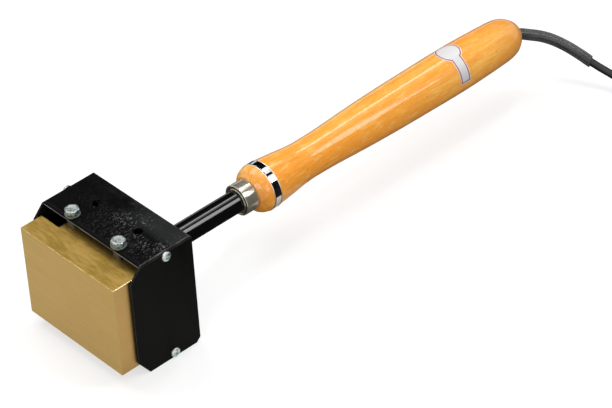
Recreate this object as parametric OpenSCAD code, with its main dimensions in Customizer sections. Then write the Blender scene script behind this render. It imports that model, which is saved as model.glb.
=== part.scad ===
// Electric branding iron: a blank brass stamp on a heated head, a steel stem, a turned wooden handle
// and a mains lead. All lengths are in millimetres.
// The origin is the centre of the stamp's working face. +X is to the right, +Y runs back along the
// handle and +Z is up. The tool stands on the underside of its hood.

/* [Stamp] */
// Width of the stamp's working face
die_w = 105; // [95:1:115]
// Height of the stamp's working face
die_h = 80; // [74:1:86]
// Thickness of the stamp's slab
die_t = 20; // [16:1:24]
// Twice the tongue's reach to the left of the middle; to the right it runs on to the hood's flange
tongue_w = 64; // [62:1:76]
// Length of the tongue behind the slab
tongue_l = 22; // [18:0.5:23]
// Thickness of the tongue
tongue_t = 15; // [12:0.5:17]
// Radial clearance of the clamp slots round the screws
slot_clear = 0.3; // [0.2:0.05:0.6]
// Gap between the stamp and what it slides along
slide_gap = 0.2; // [0.1:0.05:0.4]

/* [Hood] */
// Thickness of the folded sheet
hood_t = 2; // [1.5:0.25:2.5]
// Thickness of the side plates
side_t = 1.5; // [1:0.25:2.5]
// Gap between the slab's sides and the side plates
side_gap = 1; // [0.5:0.25:3]
// Gap above and below the slab, to the hood's inner faces
slab_gap = 8; // [7:0.5:10]
// How far the side plates reach forward over the slab
side_lap = 6; // [3:0.5:10]
// Distance of the top's front edge behind the slab
lip_back = 4; // [2:0.5:5]
// Radius of the rolled front edges
lip_r = 2.6; // [2.55:0.05:3]
// Outer radius of the folds at the back
fold_r = 2.5; // [2.5:0.1:4]
// Drop of the side plates' top edges below the top face
side_drop = 1.5; // [0.5:0.25:2.5]
// Depth along the handle of the top front corner cut
cut_top_y = 9.5; // [6:0.5:12]
// Height of the top front corner cut
cut_top_z = 10; // [6:0.5:12]
// Depth along the handle of the bottom front corner cut
cut_low_y = 10; // [6:0.5:12]
// Height of the bottom front corner cut
cut_low_z = 14; // [8:0.5:16]
// Size of the bottom rear corner cut
cut_rear = 3.7; // [2:0.1:5]
// Height of the flanges that hold the side plates
flange_h = 12; // [10:0.5:14]
// Diameter of the access holes in the top
access_d = 7.5; // [6:0.5:8]

/* [Clamp screws] */
// Thread diameter
clamp_d = 6; // [5:0.5:6.5]
// Length below the head
clamp_l = 40; // [37:1:42]
// Spacing of the two screws
clamp_spacing = 52; // [46:1:54]
// Distance of the screws behind the slab
clamp_back = 9; // [8:0.5:11]
// Width of the hex across its flats
clamp_af = 10; // [9:0.5:11]
// Height of the hex
clamp_head = 4; // [3:0.25:5]
// Outer diameter of the washers
washer_d = 12; // [11:0.5:14]
// Thickness of the washers
washer_t = 1.6; // [1:0.1:2]
// Outer diameter of the spacer sleeves
sleeve_d = 9; // [8.5:0.25:10]

/* [Side screws] */
// Thread diameter
side_screw_d = 4; // [3:0.5:4]
// Length below the head
side_screw_l = 8; // [6:0.5:9]
// Diameter of the pan heads
side_head_d = 8; // [7:0.5:9]
// Height of the pan heads
side_head_h = 2.6; // [2:0.1:3]
// Distance of the screws from the hood's top and bottom faces
side_screw_in = 4.5; // [4.5:0.25:6]
// Distance of the screws behind the side plates' front edges
side_screw_back = 34; // [28:1:44]

/* [Heating] */
// Depth of the heater block along the handle
block_d = 38; // [36:0.5:42]
// Inset of the block from the slab's sides
block_inset = 5.5; // [5:0.25:8]
// Height of the block's underside above the slab's underside
block_lift = 2; // [0:0.5:5]
// Diameter of the cartridge heaters
heater_d = 12.5; // [10:0.5:14]
// Length of the cartridge heaters
heater_l = 33; // [28:1:34]
// Spacing of the two heaters
heater_spacing = 46.6; // [42:0.2:50]
// Depth of the heaters' axes below the block's top
heater_down = 31; // [30:0.5:34]
// Gap round the heaters
heater_gap = 0.05; // [0.03:0.01:0.15]
// Thread diameter of the heater locking screws
lock_d = 5; // [4:0.5:5]
// Distance of the locking screws in front of the block's rear face
lock_in = 8.5; // [6:0.5:10]
// Length of the standoff spacers
spacer_l = 13; // [12.5:0.5:16]
// Outer diameter of the standoff spacers
spacer_d = 9; // [8:0.25:10]
// Half the spacing of the rear bolts, across and up
rear_bolt_at = 16; // [15:0.5:17]
// Thread diameter of the rear bolts
rear_bolt_d = 5; // [4:0.5:5]
// Length of the rear bolts below the head
rear_bolt_l = 30; // [26:1:32]
// Thickness of the rear insulation board
board_t = 3; // [2:0.25:4]

/* [Stem] */
// Outer diameter of the stem tube
stem_d = 18; // [16:0.5:18]
// Wall of the stem tube
stem_wall = 1.5; // [1:0.25:2]
// Length of the stem from the back wall to the ferrule
stem_free = 89.3; // [60:0.1:140]
// Length of the stem inside the handle
stem_in = 86; // [60:1:95]
// Diameter of the stem flange
flange_d = 60; // [58:1:70]
// Thickness of the stem flange
flange_t = 5; // [4:0.5:6]
// Outer diameter of the wire bush
bush_d = 13; // [12:0.25:13]
// Bore of the wire bush
bush_bore = 9; // [8.5:0.25:10]

/* [Handle] */
// Outer diameter of the ferrule
ferrule_d = 25.7; // [25:0.1:27]
// Length of the ferrule
ferrule_l = 12; // [11:0.5:13]
// Wall of the ferrule
ferrule_wall = 0.8; // [0.5:0.1:1.2]
// Length of the wooden grip behind the ferrule
grip_l = 291.5; // [280:0.5:310]
// Diameter of the grip's front bulge
bulge_d = 39.6; // [38:0.2:42]
// Diameter of the grip's neck
neck_d = 31.5; // [30:0.5:34]
// Diameter of the grip's thickest part at the rear
palm_d = 39.6; // [38:0.2:42]
// Distance of the chrome band behind the grip's front
band_at = 13.5; // [13:0.1:16]
// Width of the chrome band
band_w = 7.5; // [6:0.5:8]
// Thickness of the chrome band
band_t = 1; // [0.6:0.1:1.4]
// Diameter of the two pins under the band
pin_d = 4; // [3:0.25:4.5]
// Distance of the sticker's centre behind the grip's front
label_at = 216; // [200:0.5:235]
// Diameter of the sticker's round end
label_d = 22; // [16:1:26]
// Width of the sticker's strip
label_strip = 10.8; // [8:0.2:14]
// Length of the chamber in the grip, from its front
chamber_l = 225.5; // [222:0.5:240]
// Diameter of the cord hole in the grip's rear end
cord_hole_d = 10; // [9.8:0.1:11]
// Diameter of that hole's flared mouth
mouth_d = 18; // [17:0.5:19]

/* [Wiring] */
// Diameter of the insulated wires in the head and stem
wire_d = 2; // [1.5:0.1:2.2]
// Width of the terminal block
terminal_w = 15; // [14.5:0.25:15.5]
// Height of the terminal block
terminal_h = 9; // [8:0.25:9]
// Length of the terminal block
terminal_l = 18; // [15:1:20]
// Gap between the stem's end and the terminal block
terminal_gap = 23; // [15:1:30]
// Distance from the terminal block to the end of the lead's jacket
core_l = 40; // [30:1:50]
// Outer diameter of the cord grip
grip_ring_d = 16; // [14:0.5:17]
// Length of the cord grip
grip_ring_l = 10; // [8:1:14]

/* [Lead] */
// Diameter of the mains lead
cord_d = 6.5; // [6:0.1:6.6]
// Outer diameter of the clear sleeve
clear_d = 9.5; // [9.2:0.1:9.6]
// Inner diameter of the clear sleeve
clear_bore = 7.2; // [7.1:0.1:7.6]
// Loops in the coil
coil_loops = 8; // [6:1:9]
// Radius of the coil's outer loop
coil_r = 44; // [42:0.5:46]
// Distance between neighbouring loops
coil_step = 7.2; // [7.1:0.1:8]
// Width of the tie round the coil
tie_w = 12; // [8:1:16]
// Thickness of the tie
tie_t = 0.6; // [0.4:0.05:0.65]

/* [Plug] */
// Diameter of the plug's body
plug_d = 37; // [34:0.5:37]
// Length of the plug's round front
plug_front_l = 22; // [20:1:26]
// Length of the plug's grip behind it
plug_grip_l = 24; // [20:1:30]
// Diameter of the plug's pins
plug_pin_d = 4.8; // [4.7:0.1:4.9]
// Free length of the plug's pins
plug_pin_l = 19; // [18:0.5:20]
// Spacing of the plug's pins
plug_pin_spacing = 19; // [18:0.5:20]
// Length of the ribbed strain relief
relief_l = 26; // [20:1:30]

/* [Hidden] */
$fn = 48;

// Small fits that several pieces share
eps = 0.01;
running = 0.1;
seat = 0.05;

// Places in the head, from the working face back and from the slab out
hood_top = die_h / 2 + slab_gap + hood_t;
floor_z = -hood_top;
under_top = hood_top - hood_t;
side_in = die_w / 2 + side_gap;
shell_x = side_in - slide_gap;
flange_x = shell_x - hood_t;
hood_front = die_t - side_lap;
lip_y = die_t + lip_back;
tongue_z = die_h / 2 - tongue_t;
tongue_right = flange_x - 2 * slide_gap;
block_y0 = die_t + slide_gap;
block_y1 = block_y0 + block_d;
block_top = tongue_z - slide_gap;
block_low = -die_h / 2 + block_lift;
block_x = die_w / 2 - block_inset;
wall_in = block_y1 + spacer_l;
wall_out = wall_in + hood_t;
pad_x = flange_x - block_x - 0.3;

// Clamp screws
clamp_x = clamp_spacing / 2;
clamp_y = die_t + clamp_back;
washer_z = hood_top + running;
clamp_head_z = washer_z + washer_t + running;
clamp_tip_z = clamp_head_z - clamp_l;
slot_r = clamp_d / 2 + slot_clear;
side_screw_y = hood_front + side_screw_back;
side_screw_z = hood_top - side_screw_in;

// Heaters and the bolts behind them
heater_x = heater_spacing / 2;
heater_z = block_top - heater_down;
heater_cap = 1.5;
heater_bore_r = heater_d / 2 + heater_gap;
lock_y = block_y1 - lock_in;
lock_tip_z = heater_z + heater_bore_r;
lock_head_h = 5;
spring_t = 1.2;
rear_head_y = wall_out + flange_t + spring_t;
rear_af = 8;
rear_head_h = 3.5;

// Stem and handle stations
ferrule_y = wall_out + stem_free;
grip_y = ferrule_y + ferrule_l;
stem_end = ferrule_y + stem_in;
grip_end = grip_y + grip_l;
stem_r = stem_d / 2;
tenon_r = ferrule_d / 2 - ferrule_wall;
band_y = grip_y + band_at;
band_r = bulge_d / 2;
chamber_end = grip_y + chamber_l;
chamber_r = stem_r + running;
mouth_flare_l = 18;
mouth_y = grip_end - mouth_flare_l;
label_y = grip_y + label_at;
label_r = palm_d / 2 + 0.05;

// Grip outline: share of its length behind the front, and radius there
tail_r = palm_d / 2 - 2.3;
end_round_l = 25;
grip_knots = [
    [0, ferrule_d / 2 + 1.2], [1.5, ferrule_d / 2 + 2.8], [3.5, bulge_d / 2 - 2.3], [6, bulge_d / 2 - 1],
    [9, bulge_d / 2 - 0.2], [14.5, bulge_d / 2], [19.5, bulge_d / 2 - 0.35], [26.5, bulge_d / 2 - 1.05],
    [36.5, bulge_d / 2 - 2.1], [45.5, neck_d / 2 + 0.9], [54.5, neck_d / 2 + 0.05],
    [64.5, neck_d / 2 + 0.05], [81.5, neck_d / 2 + 0.45], [101.5, neck_d / 2 + 1.4],
    [126.5, palm_d / 2 - 1.6], [156.5, palm_d / 2 - 0.85],
    [186.5, palm_d / 2 - 0.35], [212.5, palm_d / 2 - 0.05], [228.5, palm_d / 2 - 0.15],
    [246.5, palm_d / 2 - 0.6], [grip_l - end_round_l, palm_d / 2 - 1.4],
    [grip_l - end_round_l * 0.72, tail_r + 0.45], [grip_l - end_round_l * 0.48, tail_r - 0.9],
    [grip_l - end_round_l * 0.28, tail_r - 3.2], [grip_l - end_round_l * 0.12, tail_r - 6.2],
    [grip_l, mouth_d / 2 + 0.4]
];

// Wiring stations
bush_y0 = wall_in - board_t - 1.5;
bundle_r = 2.6;
lead_turn_y = block_y1 + heater_cap + wire_d / 2 + 1.5;
terminal_y = stem_end + terminal_gap;
terminal_pitch = terminal_w / 3;
jacket_y = terminal_y + terminal_l + core_l;
grip_ring_y = chamber_end - grip_ring_l - 0.5;
sleeve_y = chamber_end + 1;
lug_drop = 20;
lug_h = 8;
lug_z = heater_z - lug_drop;
lug_top = lug_z + lug_h;
wire_out = 2.2;
earth_screw_d = 4;

// The lead leaves the handle, falls to the ground and runs to the coil
cord_start = 452;
cord_route = [
    [0, 452, 0], [0, 456, 0], [1, 461, -0.1], [4, 468, -1], [8, 476, -4], [15, 486, -8], [24, 495, -14],
    [35, 502, -21], [48, 508, -29], [66, 514, -36], [84, 519, -41.5], [100, 528, -45],
    [113, 541, -46], [122, 557, -46], [127, 575, -46], [128, 590, -46], [128, 597, -46]
];
sleeve_points = 9;
coil_at = [84, 604];
coil_z = -46;
coil_layer = 7;
tail_route = [
    [77, 648, -25], [73, 648, -25], [66, 648.5, -25.9], [57, 650, -28.1], [48, 651.5, -30.3],
    [41, 652, -31.3], [37, 652, -31.5], [33, 652, -31.5]
];
plug_at = tail_route[7];

cord_sides = 8;
coil_sides = 6;
loop_rings = 24;

function unit(v) = v / norm(v);
function mid_tangent(p, i) =
    i == 0 ? unit(p[1] - p[0])
    : i == len(p) - 1 ? unit(p[i] - p[i - 1])
    : unit(unit(p[i] - p[i - 1]) + unit(p[i + 1] - p[i]));
function ring(p, i, r, n) =
    let (t = mid_tangent(p, i), u = unit(cross(t, [0, 0, 1])), v = cross(u, t))
    [for (k = [0:n - 1]) p[i] + r * (cos(360 * k / n) * u + sin(360 * k / n) * v)];

// A tube of radius r and n sides along the points p, with square ends
module swept(p, r, n) {
    rings = len(p);
    points = [for (i = [0:rings - 1]) each ring(p, i, r, n)];
    sides = [for (i = [0:rings - 2], k = [0:n - 1])
        let (a = i * n + k, b = i * n + (k + 1) % n)
        each [[a, b, b + n], [a, b + n, a + n]]];
    front = [for (k = [0:n - 1]) n - 1 - k];
    back = [for (k = [0:n - 1]) (rings - 1) * n + k];
    polyhedron(points, concat(sides, [front], [back]));
}

// A smooth curve through knots [place, radius]: value at s between knots i and i + 1
function spline(k, i, s) =
    let (a = k[max(i - 1, 0)], b = k[i], c = k[i + 1], d = k[min(i + 2, len(k) - 1)],
         m0 = (c[1] - a[1]) / (c[0] - a[0]) * (c[0] - b[0]),
         m1 = (d[1] - b[1]) / (d[0] - b[0]) * (c[0] - b[0]))
    b[1] * (2 * pow(s, 3) - 3 * s * s + 1) + m0 * (pow(s, 3) - 2 * s * s + s)
    + c[1] * (3 * s * s - 2 * pow(s, 3)) + m1 * (pow(s, 3) - s * s);
function smooth_outline(k, steps) = concat(
    [for (i = [0:len(k) - 2], j = [0:steps - 1])
        [spline(k, i, j / steps), k[i][0] + (k[i + 1][0] - k[i][0]) * j / steps]],
    [[k[len(k) - 1][1], k[len(k) - 1][0]]]);

// A solid turned about the handle's axis from [radius, y] points
module turned(outline) {
    rotate([-90, 0, 0]) mirror([0, 1, 0]) rotate_extrude() polygon(outline);
}

// A round bar along +Y from y
module bar_y(r, y, l, x = 0, z = 0) {
    translate([x, y, z]) rotate([-90, 0, 0]) cylinder(r = r, h = l);
}

// A ring along +Y from y
module ring_y(ro, ri, y, l, x = 0, z = 0) {
    difference() {
        bar_y(ro, y, l, x, z);
        bar_y(ri, y - 1, l + 2, x, z);
    }
}

// A round bar along +Z from z
module bar_z(r, x, y, z, l) {
    translate([x, y, z]) cylinder(r = r, h = l);
}

module hexagon(af, h) {
    cylinder(d = af / cos(30), h = h, $fn = 6);
}

// What is drawn on the right, again on the left
module both_sides() {
    children();
    mirror([1, 0, 0]) children();
}

// What is drawn above, again below
module both_levels() {
    children();
    mirror([0, 0, 1]) children();
}

module at_rear_bolts() {
    for (sx = [-1, 1], sz = [-1, 1]) translate([sx * rear_bolt_at, 0, sz * rear_bolt_at]) children();
}

module die_block() {
    color([0.74, 0.61, 0.33])
    difference() {
        union() {
            translate([-die_w / 2, 0, -die_h / 2]) cube([die_w, die_t, die_h]);
            translate([-tongue_w / 2, die_t - eps, tongue_z])
                cube([tongue_w / 2 + tongue_right, tongue_l + eps, tongue_t]);
        }
        for (s = [-1, 1]) {
            bar_z(slot_r, s * clamp_x, clamp_y, tongue_z - 1, tongue_t + 2);
            translate([s * clamp_x - slot_r, clamp_y, tongue_z - 1])
                cube([2 * slot_r, tongue_l, tongue_t + 2]);
        }
    }
}

// Points of an arc about [cy, cz] from angle a0 to a1
function arc(cy, cz, r, a0, a1, n = 8) =
    [for (i = [0:n]) let (a = a0 + (a1 - a0) * i / n) [cy + r * cos(a), cz + r * sin(a)]];

// Side view of the folded sheet: top, back and bottom, with rolled front edges
module hood_outline() {
    inner_r = max(fold_r - hood_t, 0.2);
    lip_in = max(lip_r - hood_t, 0.2);
    upper_out = concat(
        arc(lip_y + lip_r, hood_top - lip_r, lip_r, 180, 90),
        arc(wall_out - fold_r, hood_top - fold_r, fold_r, 90, 0));
    upper_in = concat(
        arc(lip_y + lip_r, hood_top - lip_r, lip_in, 180, 90),
        arc(wall_out - fold_r, hood_top - fold_r, inner_r, 90, 0));
    lower_out = [for (i = [len(upper_out) - 1:-1:0]) [upper_out[i][0], -upper_out[i][1]]];
    lower_in = [for (i = [len(upper_in) - 1:-1:0]) [upper_in[i][0], -upper_in[i][1]]];
    inside = concat(upper_in, lower_in);
    polygon(concat(upper_out, lower_out, [for (i = [len(inside) - 1:-1:0]) inside[i]]));
}

module hood_shell() {
    color([0.09, 0.09, 0.09])
    difference() {
        union() {
            translate([-shell_x, 0, 0]) rotate([90, 0, 90]) linear_extrude(2 * shell_x) hood_outline();
            for (sx = [-1, 1], sz = [-1, 1])
                translate([sx > 0 ? flange_x : -shell_x, lip_y + lip_r,
                           sz > 0 ? under_top - flange_h : -under_top - eps])
                    cube([hood_t, wall_in - lip_y - lip_r + eps, flange_h + eps]);
        }
        for (s = [-1, 1]) {
            bar_z(slot_r, s * clamp_x, clamp_y, under_top - 1, hood_t + 2);
            bar_z(access_d / 2, s * heater_x, lock_y, under_top - 1, hood_t + 2);
            for (z = [-1, 1])
                translate([s * (flange_x - 1), side_screw_y, z * side_screw_z]) rotate([0, s * 90, 0])
                    cylinder(d = side_screw_d + 2 * seat, h = hood_t + 2);
        }
        at_rear_bolts() bar_y(rear_bolt_d / 2 + 0.25, wall_in - 1, hood_t + 2);
        bar_y(bush_d / 2 + running, wall_in - 1, hood_t + 2);
    }
}

module side_plate() {
    top = hood_top - side_drop;
    color([0.07, 0.07, 0.07])
    difference() {
        translate([side_in, 0, 0]) rotate([90, 0, 90]) linear_extrude(side_t) polygon([
            [hood_front, top - cut_top_z], [hood_front + cut_top_y, top], [wall_out, top],
            [wall_out, floor_z + cut_rear], [wall_out - cut_rear, floor_z],
            [hood_front + cut_low_y, floor_z], [hood_front, floor_z + cut_low_z]]);
        for (z = [-1, 1])
            translate([side_in - 1, side_screw_y, z * side_screw_z]) rotate([0, 90, 0])
                cylinder(d = side_screw_d + 2 * running, h = side_t + 2);
    }
}

module side_plate_left() {
    mirror([1, 0, 0]) side_plate();
}

module side_plate_right() {
    side_plate();
}

// Pan-head screw along -Z, with its head standing on z = 0 and a cross recess
module pan_screw() {
    difference() {
        union() {
            rotate_extrude() polygon([
                [0, 0], [side_head_d / 2, 0], [side_head_d / 2, side_head_h * 0.4],
                [side_head_d / 2 - 0.6, side_head_h * 0.78], [side_head_d / 2 - 1.6, side_head_h],
                [0, side_head_h]]);
            translate([0, 0, -side_screw_l]) cylinder(d = side_screw_d, h = side_screw_l + eps);
        }
        for (a = [0, 90]) rotate([0, 0, a])
            translate([-side_head_d * 0.27, -0.45, side_head_h - 1.3]) cube([side_head_d * 0.54, 0.9, 2]);
    }
}

module side_screws() {
    color([0.8, 0.82, 0.84])
    both_sides() for (z = [-1, 1])
        translate([side_in + side_t, side_screw_y, z * side_screw_z]) rotate([0, 90, 0]) pan_screw();
}

module clamp_screw(s) {
    color([0.82, 0.84, 0.86])
    translate([s * clamp_x, clamp_y, clamp_head_z]) {
        intersection() {
            hexagon(clamp_af, clamp_head);
            rotate_extrude() polygon([
                [0, 0], [clamp_af * 0.6, 0], [clamp_af * 0.6, clamp_head - 0.6],
                [clamp_af * 0.48, clamp_head], [0, clamp_head]]);
        }
        translate([0, 0, -clamp_l]) cylinder(d = clamp_d, h = clamp_l + eps);
    }
}

module clamp_screw_left() {
    clamp_screw(-1);
}

module clamp_screw_right() {
    clamp_screw(1);
}

module clamp_washer(s) {
    color([0.78, 0.8, 0.82])
    difference() {
        bar_z(washer_d / 2, s * clamp_x, clamp_y, washer_z, washer_t);
        bar_z(clamp_d / 2 + running, s * clamp_x, clamp_y, washer_z - 1, washer_t + 2);
    }
}

module clamp_washer_left() {
    clamp_washer(-1);
}

module clamp_washer_right() {
    clamp_washer(1);
}

module spacer_sleeves() {
    sleeve_l = hood_top - lip_r - seat - die_h / 2 - slide_gap;
    color([0.75, 0.77, 0.79])
    for (s = [-1, 1])
        difference() {
            bar_z(sleeve_d / 2, s * clamp_x, clamp_y, die_h / 2 + slide_gap, sleeve_l);
            bar_z(slot_r, s * clamp_x, clamp_y, die_h / 2, sleeve_l + 1);
        }
}

module heater_block() {
    clamp_hole = block_top - clamp_tip_z + 2;
    color([0.72, 0.73, 0.74])
    difference() {
        translate([-block_x, block_y0, block_low]) cube([2 * block_x, block_d, block_top - block_low]);
        for (s = [-1, 1]) {
            bar_z(clamp_d / 2 + running, s * clamp_x, clamp_y, block_top - clamp_hole, clamp_hole + 1);
            bar_y(heater_bore_r, block_y1 - heater_l - 0.5, heater_l + 1.5, s * heater_x, heater_z);
            bar_z(lock_d / 2 + seat, s * heater_x, lock_y, heater_z, block_top - heater_z + 1);
        }
        at_rear_bolts() bar_y(rear_bolt_d / 2 + seat, rear_head_y - rear_bolt_l - 1, rear_bolt_l);
        bar_y(earth_screw_d / 2 + seat, block_y1 - 8, 9, 0, lug_z);
    }
}

module cartridge_heater(s) {
    color([0.6, 0.6, 0.58]) {
        bar_y(heater_d / 2, block_y1 - heater_l, heater_l, s * heater_x, heater_z);
        bar_y(heater_d / 2 - 1, block_y1 - eps, heater_cap + eps, s * heater_x, heater_z);
    }
}

module cartridge_heater_left() {
    cartridge_heater(-1);
}

module cartridge_heater_right() {
    cartridge_heater(1);
}

module heater_lock_screws() {
    color([0.45, 0.45, 0.46])
    for (s = [-1, 1])
        difference() {
            union() {
                bar_z(lock_d / 2, s * heater_x, lock_y, lock_tip_z, block_top - lock_tip_z + eps);
                bar_z(lock_d * 0.85, s * heater_x, lock_y, block_top, lock_head_h);
            }
            translate([s * heater_x, lock_y, block_top + lock_head_h - 2.5]) hexagon(lock_d * 0.8, 3);
        }
}

module standoff_spacers() {
    color([0.7, 0.71, 0.72])
    at_rear_bolts() ring_y(spacer_d / 2, rear_bolt_d / 2 + 0.15, block_y1, spacer_l);
}

module rear_bolts() {
    color([0.8, 0.82, 0.84])
    at_rear_bolts() {
        translate([0, rear_head_y, 0]) rotate([-90, 0, 0]) hexagon(rear_af, rear_head_h);
        bar_y(rear_bolt_d / 2, rear_head_y - rear_bolt_l, rear_bolt_l + eps);
    }
}

module rear_spring_washers() {
    color([0.68, 0.69, 0.71])
    at_rear_bolts() ring_y(4.5, rear_bolt_d / 2 + 0.15, wall_out + flange_t, spring_t);
}

module insulation_bottom() {
    front = lip_y + lip_r;
    color([0.9, 0.88, 0.82])
    translate([-block_x, front, -under_top]) cube([2 * block_x, block_y1 - front, under_top + block_low]);
}

module insulation_side() {
    color([0.9, 0.88, 0.82])
    translate([block_x, block_y0 + 2, block_low + 2]) cube([pad_x, block_d - 2, block_top - block_low - 4]);
}

module insulation_left() {
    mirror([1, 0, 0]) insulation_side();
}

module insulation_right() {
    insulation_side();
}

module insulation_rear() {
    half_h = -block_low;
    color([0.88, 0.86, 0.8])
    difference() {
        translate([-block_x, wall_in - board_t, -half_h]) cube([2 * block_x, board_t, 2 * half_h]);
        at_rear_bolts() bar_y(spacer_d / 2 + 0.25, wall_in - board_t - 1, board_t + 2);
        bar_y(bush_d / 2 + running, wall_in - board_t - 1, board_t + 2);
    }
}

module wire_bush() {
    color([0.93, 0.92, 0.88])
    difference() {
        union() {
            bar_y(bush_d / 2, bush_y0, wall_out + 2 - bush_y0);
            bar_y(bush_d / 2 + 1.5, bush_y0, 1.5);
        }
        bar_y(bush_bore / 2, bush_y0 - 1, board_t + hood_t + 6);
    }
}

module stem_flange() {
    color([0.1, 0.1, 0.1])
    difference() {
        bar_y(flange_d / 2, wall_out, flange_t);
        bar_y(stem_r + seat, wall_out - 1, flange_t + 2);
        at_rear_bolts() bar_y(rear_bolt_d / 2 + 0.25, wall_out - 1, flange_t + 2);
    }
}

module at_stem_pins() {
    both_sides() translate([0, band_y, 0]) rotate([0, 90, 0]) children();
}

module stem_tube() {
    color([0.06, 0.06, 0.06])
    difference() {
        ring_y(stem_r, stem_r - stem_wall, wall_out, stem_end - wall_out);
        at_stem_pins() cylinder(d = pin_d + 2 * seat, h = bulge_d);
    }
}

// Wire places in the bush, by number, spread round a small circle
function bundle_at(k) = bundle_r * [cos(k * 72 - 90), sin(k * 72 - 90)];

function lead_path(from, k, to) =
    let (b = bundle_at(k), hole = bush_y0)
    [[from[0], block_y1 + heater_cap, from[1]],
     [from[0], block_y1 + heater_cap + wire_d * 0.6, from[1]],
     [(from[0] * 0.85 + b[0] * 0.15), lead_turn_y, (from[1] * 0.85 + b[1] * 0.15)],
     [(from[0] * 0.25 + b[0] * 0.75), lead_turn_y + 1, (from[1] * 0.25 + b[1] * 0.75)],
     [b[0], hole + 0.5, b[1]],
     [b[0], wall_out, b[1]],
     [b[0], stem_end, b[1]],
     [to, terminal_y - 8, 0],
     [to, terminal_y, 0]];

module heater_leads(s) {
    pole = s * terminal_pitch;
    upper = s > 0 ? 2 : 3;
    lower = s > 0 ? 1 : 4;
    color([0.92, 0.9, 0.84]) {
        swept(lead_path([s * heater_x, heater_z + 2.5], upper, pole - s * 1.1), wire_d / 2, cord_sides);
        swept(lead_path([s * heater_x, heater_z - 2.5], lower, pole + s * 1.1), wire_d / 2, cord_sides);
    }
}

module heater_leads_left() {
    heater_leads(-1);
}

module heater_leads_right() {
    heater_leads(1);
}

module earth_wire() {
    b = bundle_at(0);
    color([0.55, 0.68, 0.2])
    swept([[0, block_y1 + wire_out, lug_top + seat], [0, block_y1 + wire_out + seat, lug_top + wire_d],
           [0, block_y1 + wire_out + wire_d / 2, lug_top + 2 * wire_d], [b[0], bush_y0 - 1.5, b[1] - 3],
           [b[0], bush_y0 + 1, b[1]], [b[0], wall_out, b[1]], [b[0], stem_end, b[1]],
           [0, terminal_y - terminal_l / 3, 0], [0, terminal_y, 0]], wire_d / 2, cord_sides);
}

module earth_lug() {
    color([0.8, 0.78, 0.7])
    difference() {
        union() {
            bar_y(4, block_y1, 0.8, 0, lug_z);
            translate([-1.5, block_y1, lug_z]) cube([3, 0.8, 5.5]);
            translate([-1.7, block_y1, lug_top - 3]) cube([3.4, 3.8, 3]);
        }
        bar_y(earth_screw_d / 2 + seat, block_y1 - 1, 3, 0, lug_z);
    }
}

module earth_screw() {
    color([0.8, 0.82, 0.84])
    difference() {
        union() {
            bar_y(earth_screw_d / 2, block_y1 - 7, 7.8 + eps, 0, lug_z);
            bar_y(3.5, block_y1 + 0.8, 2.4, 0, lug_z);
        }
        translate([-4, block_y1 + 2.2, lug_z - 0.5]) cube([8, 2, 1]);
    }
}

module ferrule() {
    ro = ferrule_d / 2;
    y = ferrule_y;
    bore = stem_r + running;
    color([0.78, 0.76, 0.7])
    turned([
        [bore, y - 0.3], [bore + 0.9, y - 0.3], [bore + 1.15, y], [bore + 1.15, y + 1],
        [ro - 1.5, y + 1], [ro - 1.5, y + 0.3], [ro - 0.9, y], [ro - 0.35, y + 0.15], [ro, y + 0.8],
        [ro, grip_y], [tenon_r + seat, grip_y], [tenon_r + seat, y + 2], [bore, y + 2]]);
}

module wood_handle() {
    color([0.88, 0.62, 0.3])
    difference() {
        union() {
            turned(concat([[0, grip_y]],
                [for (q = smooth_outline(grip_knots, 4)) [q[0], grip_y + q[1]]], [[0, grip_end]]));
            bar_y(tenon_r, ferrule_y + 2 + seat, ferrule_l);
        }
        bar_y(chamber_r, ferrule_y, chamber_end - ferrule_y);
        bar_y(cord_hole_d / 2, chamber_end - 1, grip_end - chamber_end);
        turned([[0, mouth_y], [cord_hole_d / 2, mouth_y],
                [mouth_d / 2, grip_end + eps], [0, grip_end + eps]]);
        ring_y(bulge_d, band_r - band_t, band_y - band_w / 2 - seat, band_w + 2 * seat);
        at_stem_pins() cylinder(d = pin_d + 2 * seat, h = bulge_d);
    }
}

module stem_pins() {
    from = stem_r - stem_wall;
    color([0.6, 0.6, 0.62])
    at_stem_pins() translate([0, 0, from]) cylinder(d = pin_d, h = band_r - band_t - seat - from);
}

module handle_band() {
    color([0.85, 0.86, 0.88])
    turned([
        [band_r - band_t, band_y - band_w / 2], [band_r, band_y - band_w / 2],
        [band_r + 0.15, band_y - band_w / 2 + 0.5], [band_r + 0.15, band_y + band_w / 2 - 0.5],
        [band_r, band_y + band_w / 2], [band_r - band_t, band_y + band_w / 2]]);
}

module handle_label() {
    strip_end = 92;
    color([0.9, 0.9, 0.9])
    intersection() {
        ring_y(label_r + 0.15, label_r, label_y - label_d, 2 * label_d);
        union() {
            bar_z(label_d / 2, 0, label_y, 0, label_r + 5);
            translate([0, label_y - label_strip / 2, 0]) rotate([-90, -90, 0])
                rotate_extrude(angle = strip_end) square([label_r + 5, label_strip]);
        }
    }
}

module terminal_block() {
    color([0.93, 0.93, 0.9])
    difference() {
        translate([-terminal_w / 2, terminal_y, -terminal_h / 2]) cube([terminal_w, terminal_l, terminal_h]);
        for (k = [-1:1]) {
            bar_y(1.7, terminal_y - 1, terminal_l + 2, k * terminal_pitch);
            for (y = [0.25, 0.75])
                bar_z(1.5, k * terminal_pitch, terminal_y + terminal_l * y, 0, terminal_h);
        }
    }
}

module terminal_inserts() {
    color([0.75, 0.6, 0.3])
    for (k = [-1:1])
        difference() {
            bar_y(1.65, terminal_y + 1, terminal_l - 2, k * terminal_pitch);
            bar_y(1.1, terminal_y, terminal_l, k * terminal_pitch);
            for (y = [0.25, 0.75])
                bar_z(1.25, k * terminal_pitch, terminal_y + terminal_l * y, 0, terminal_h);
        }
}

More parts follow.
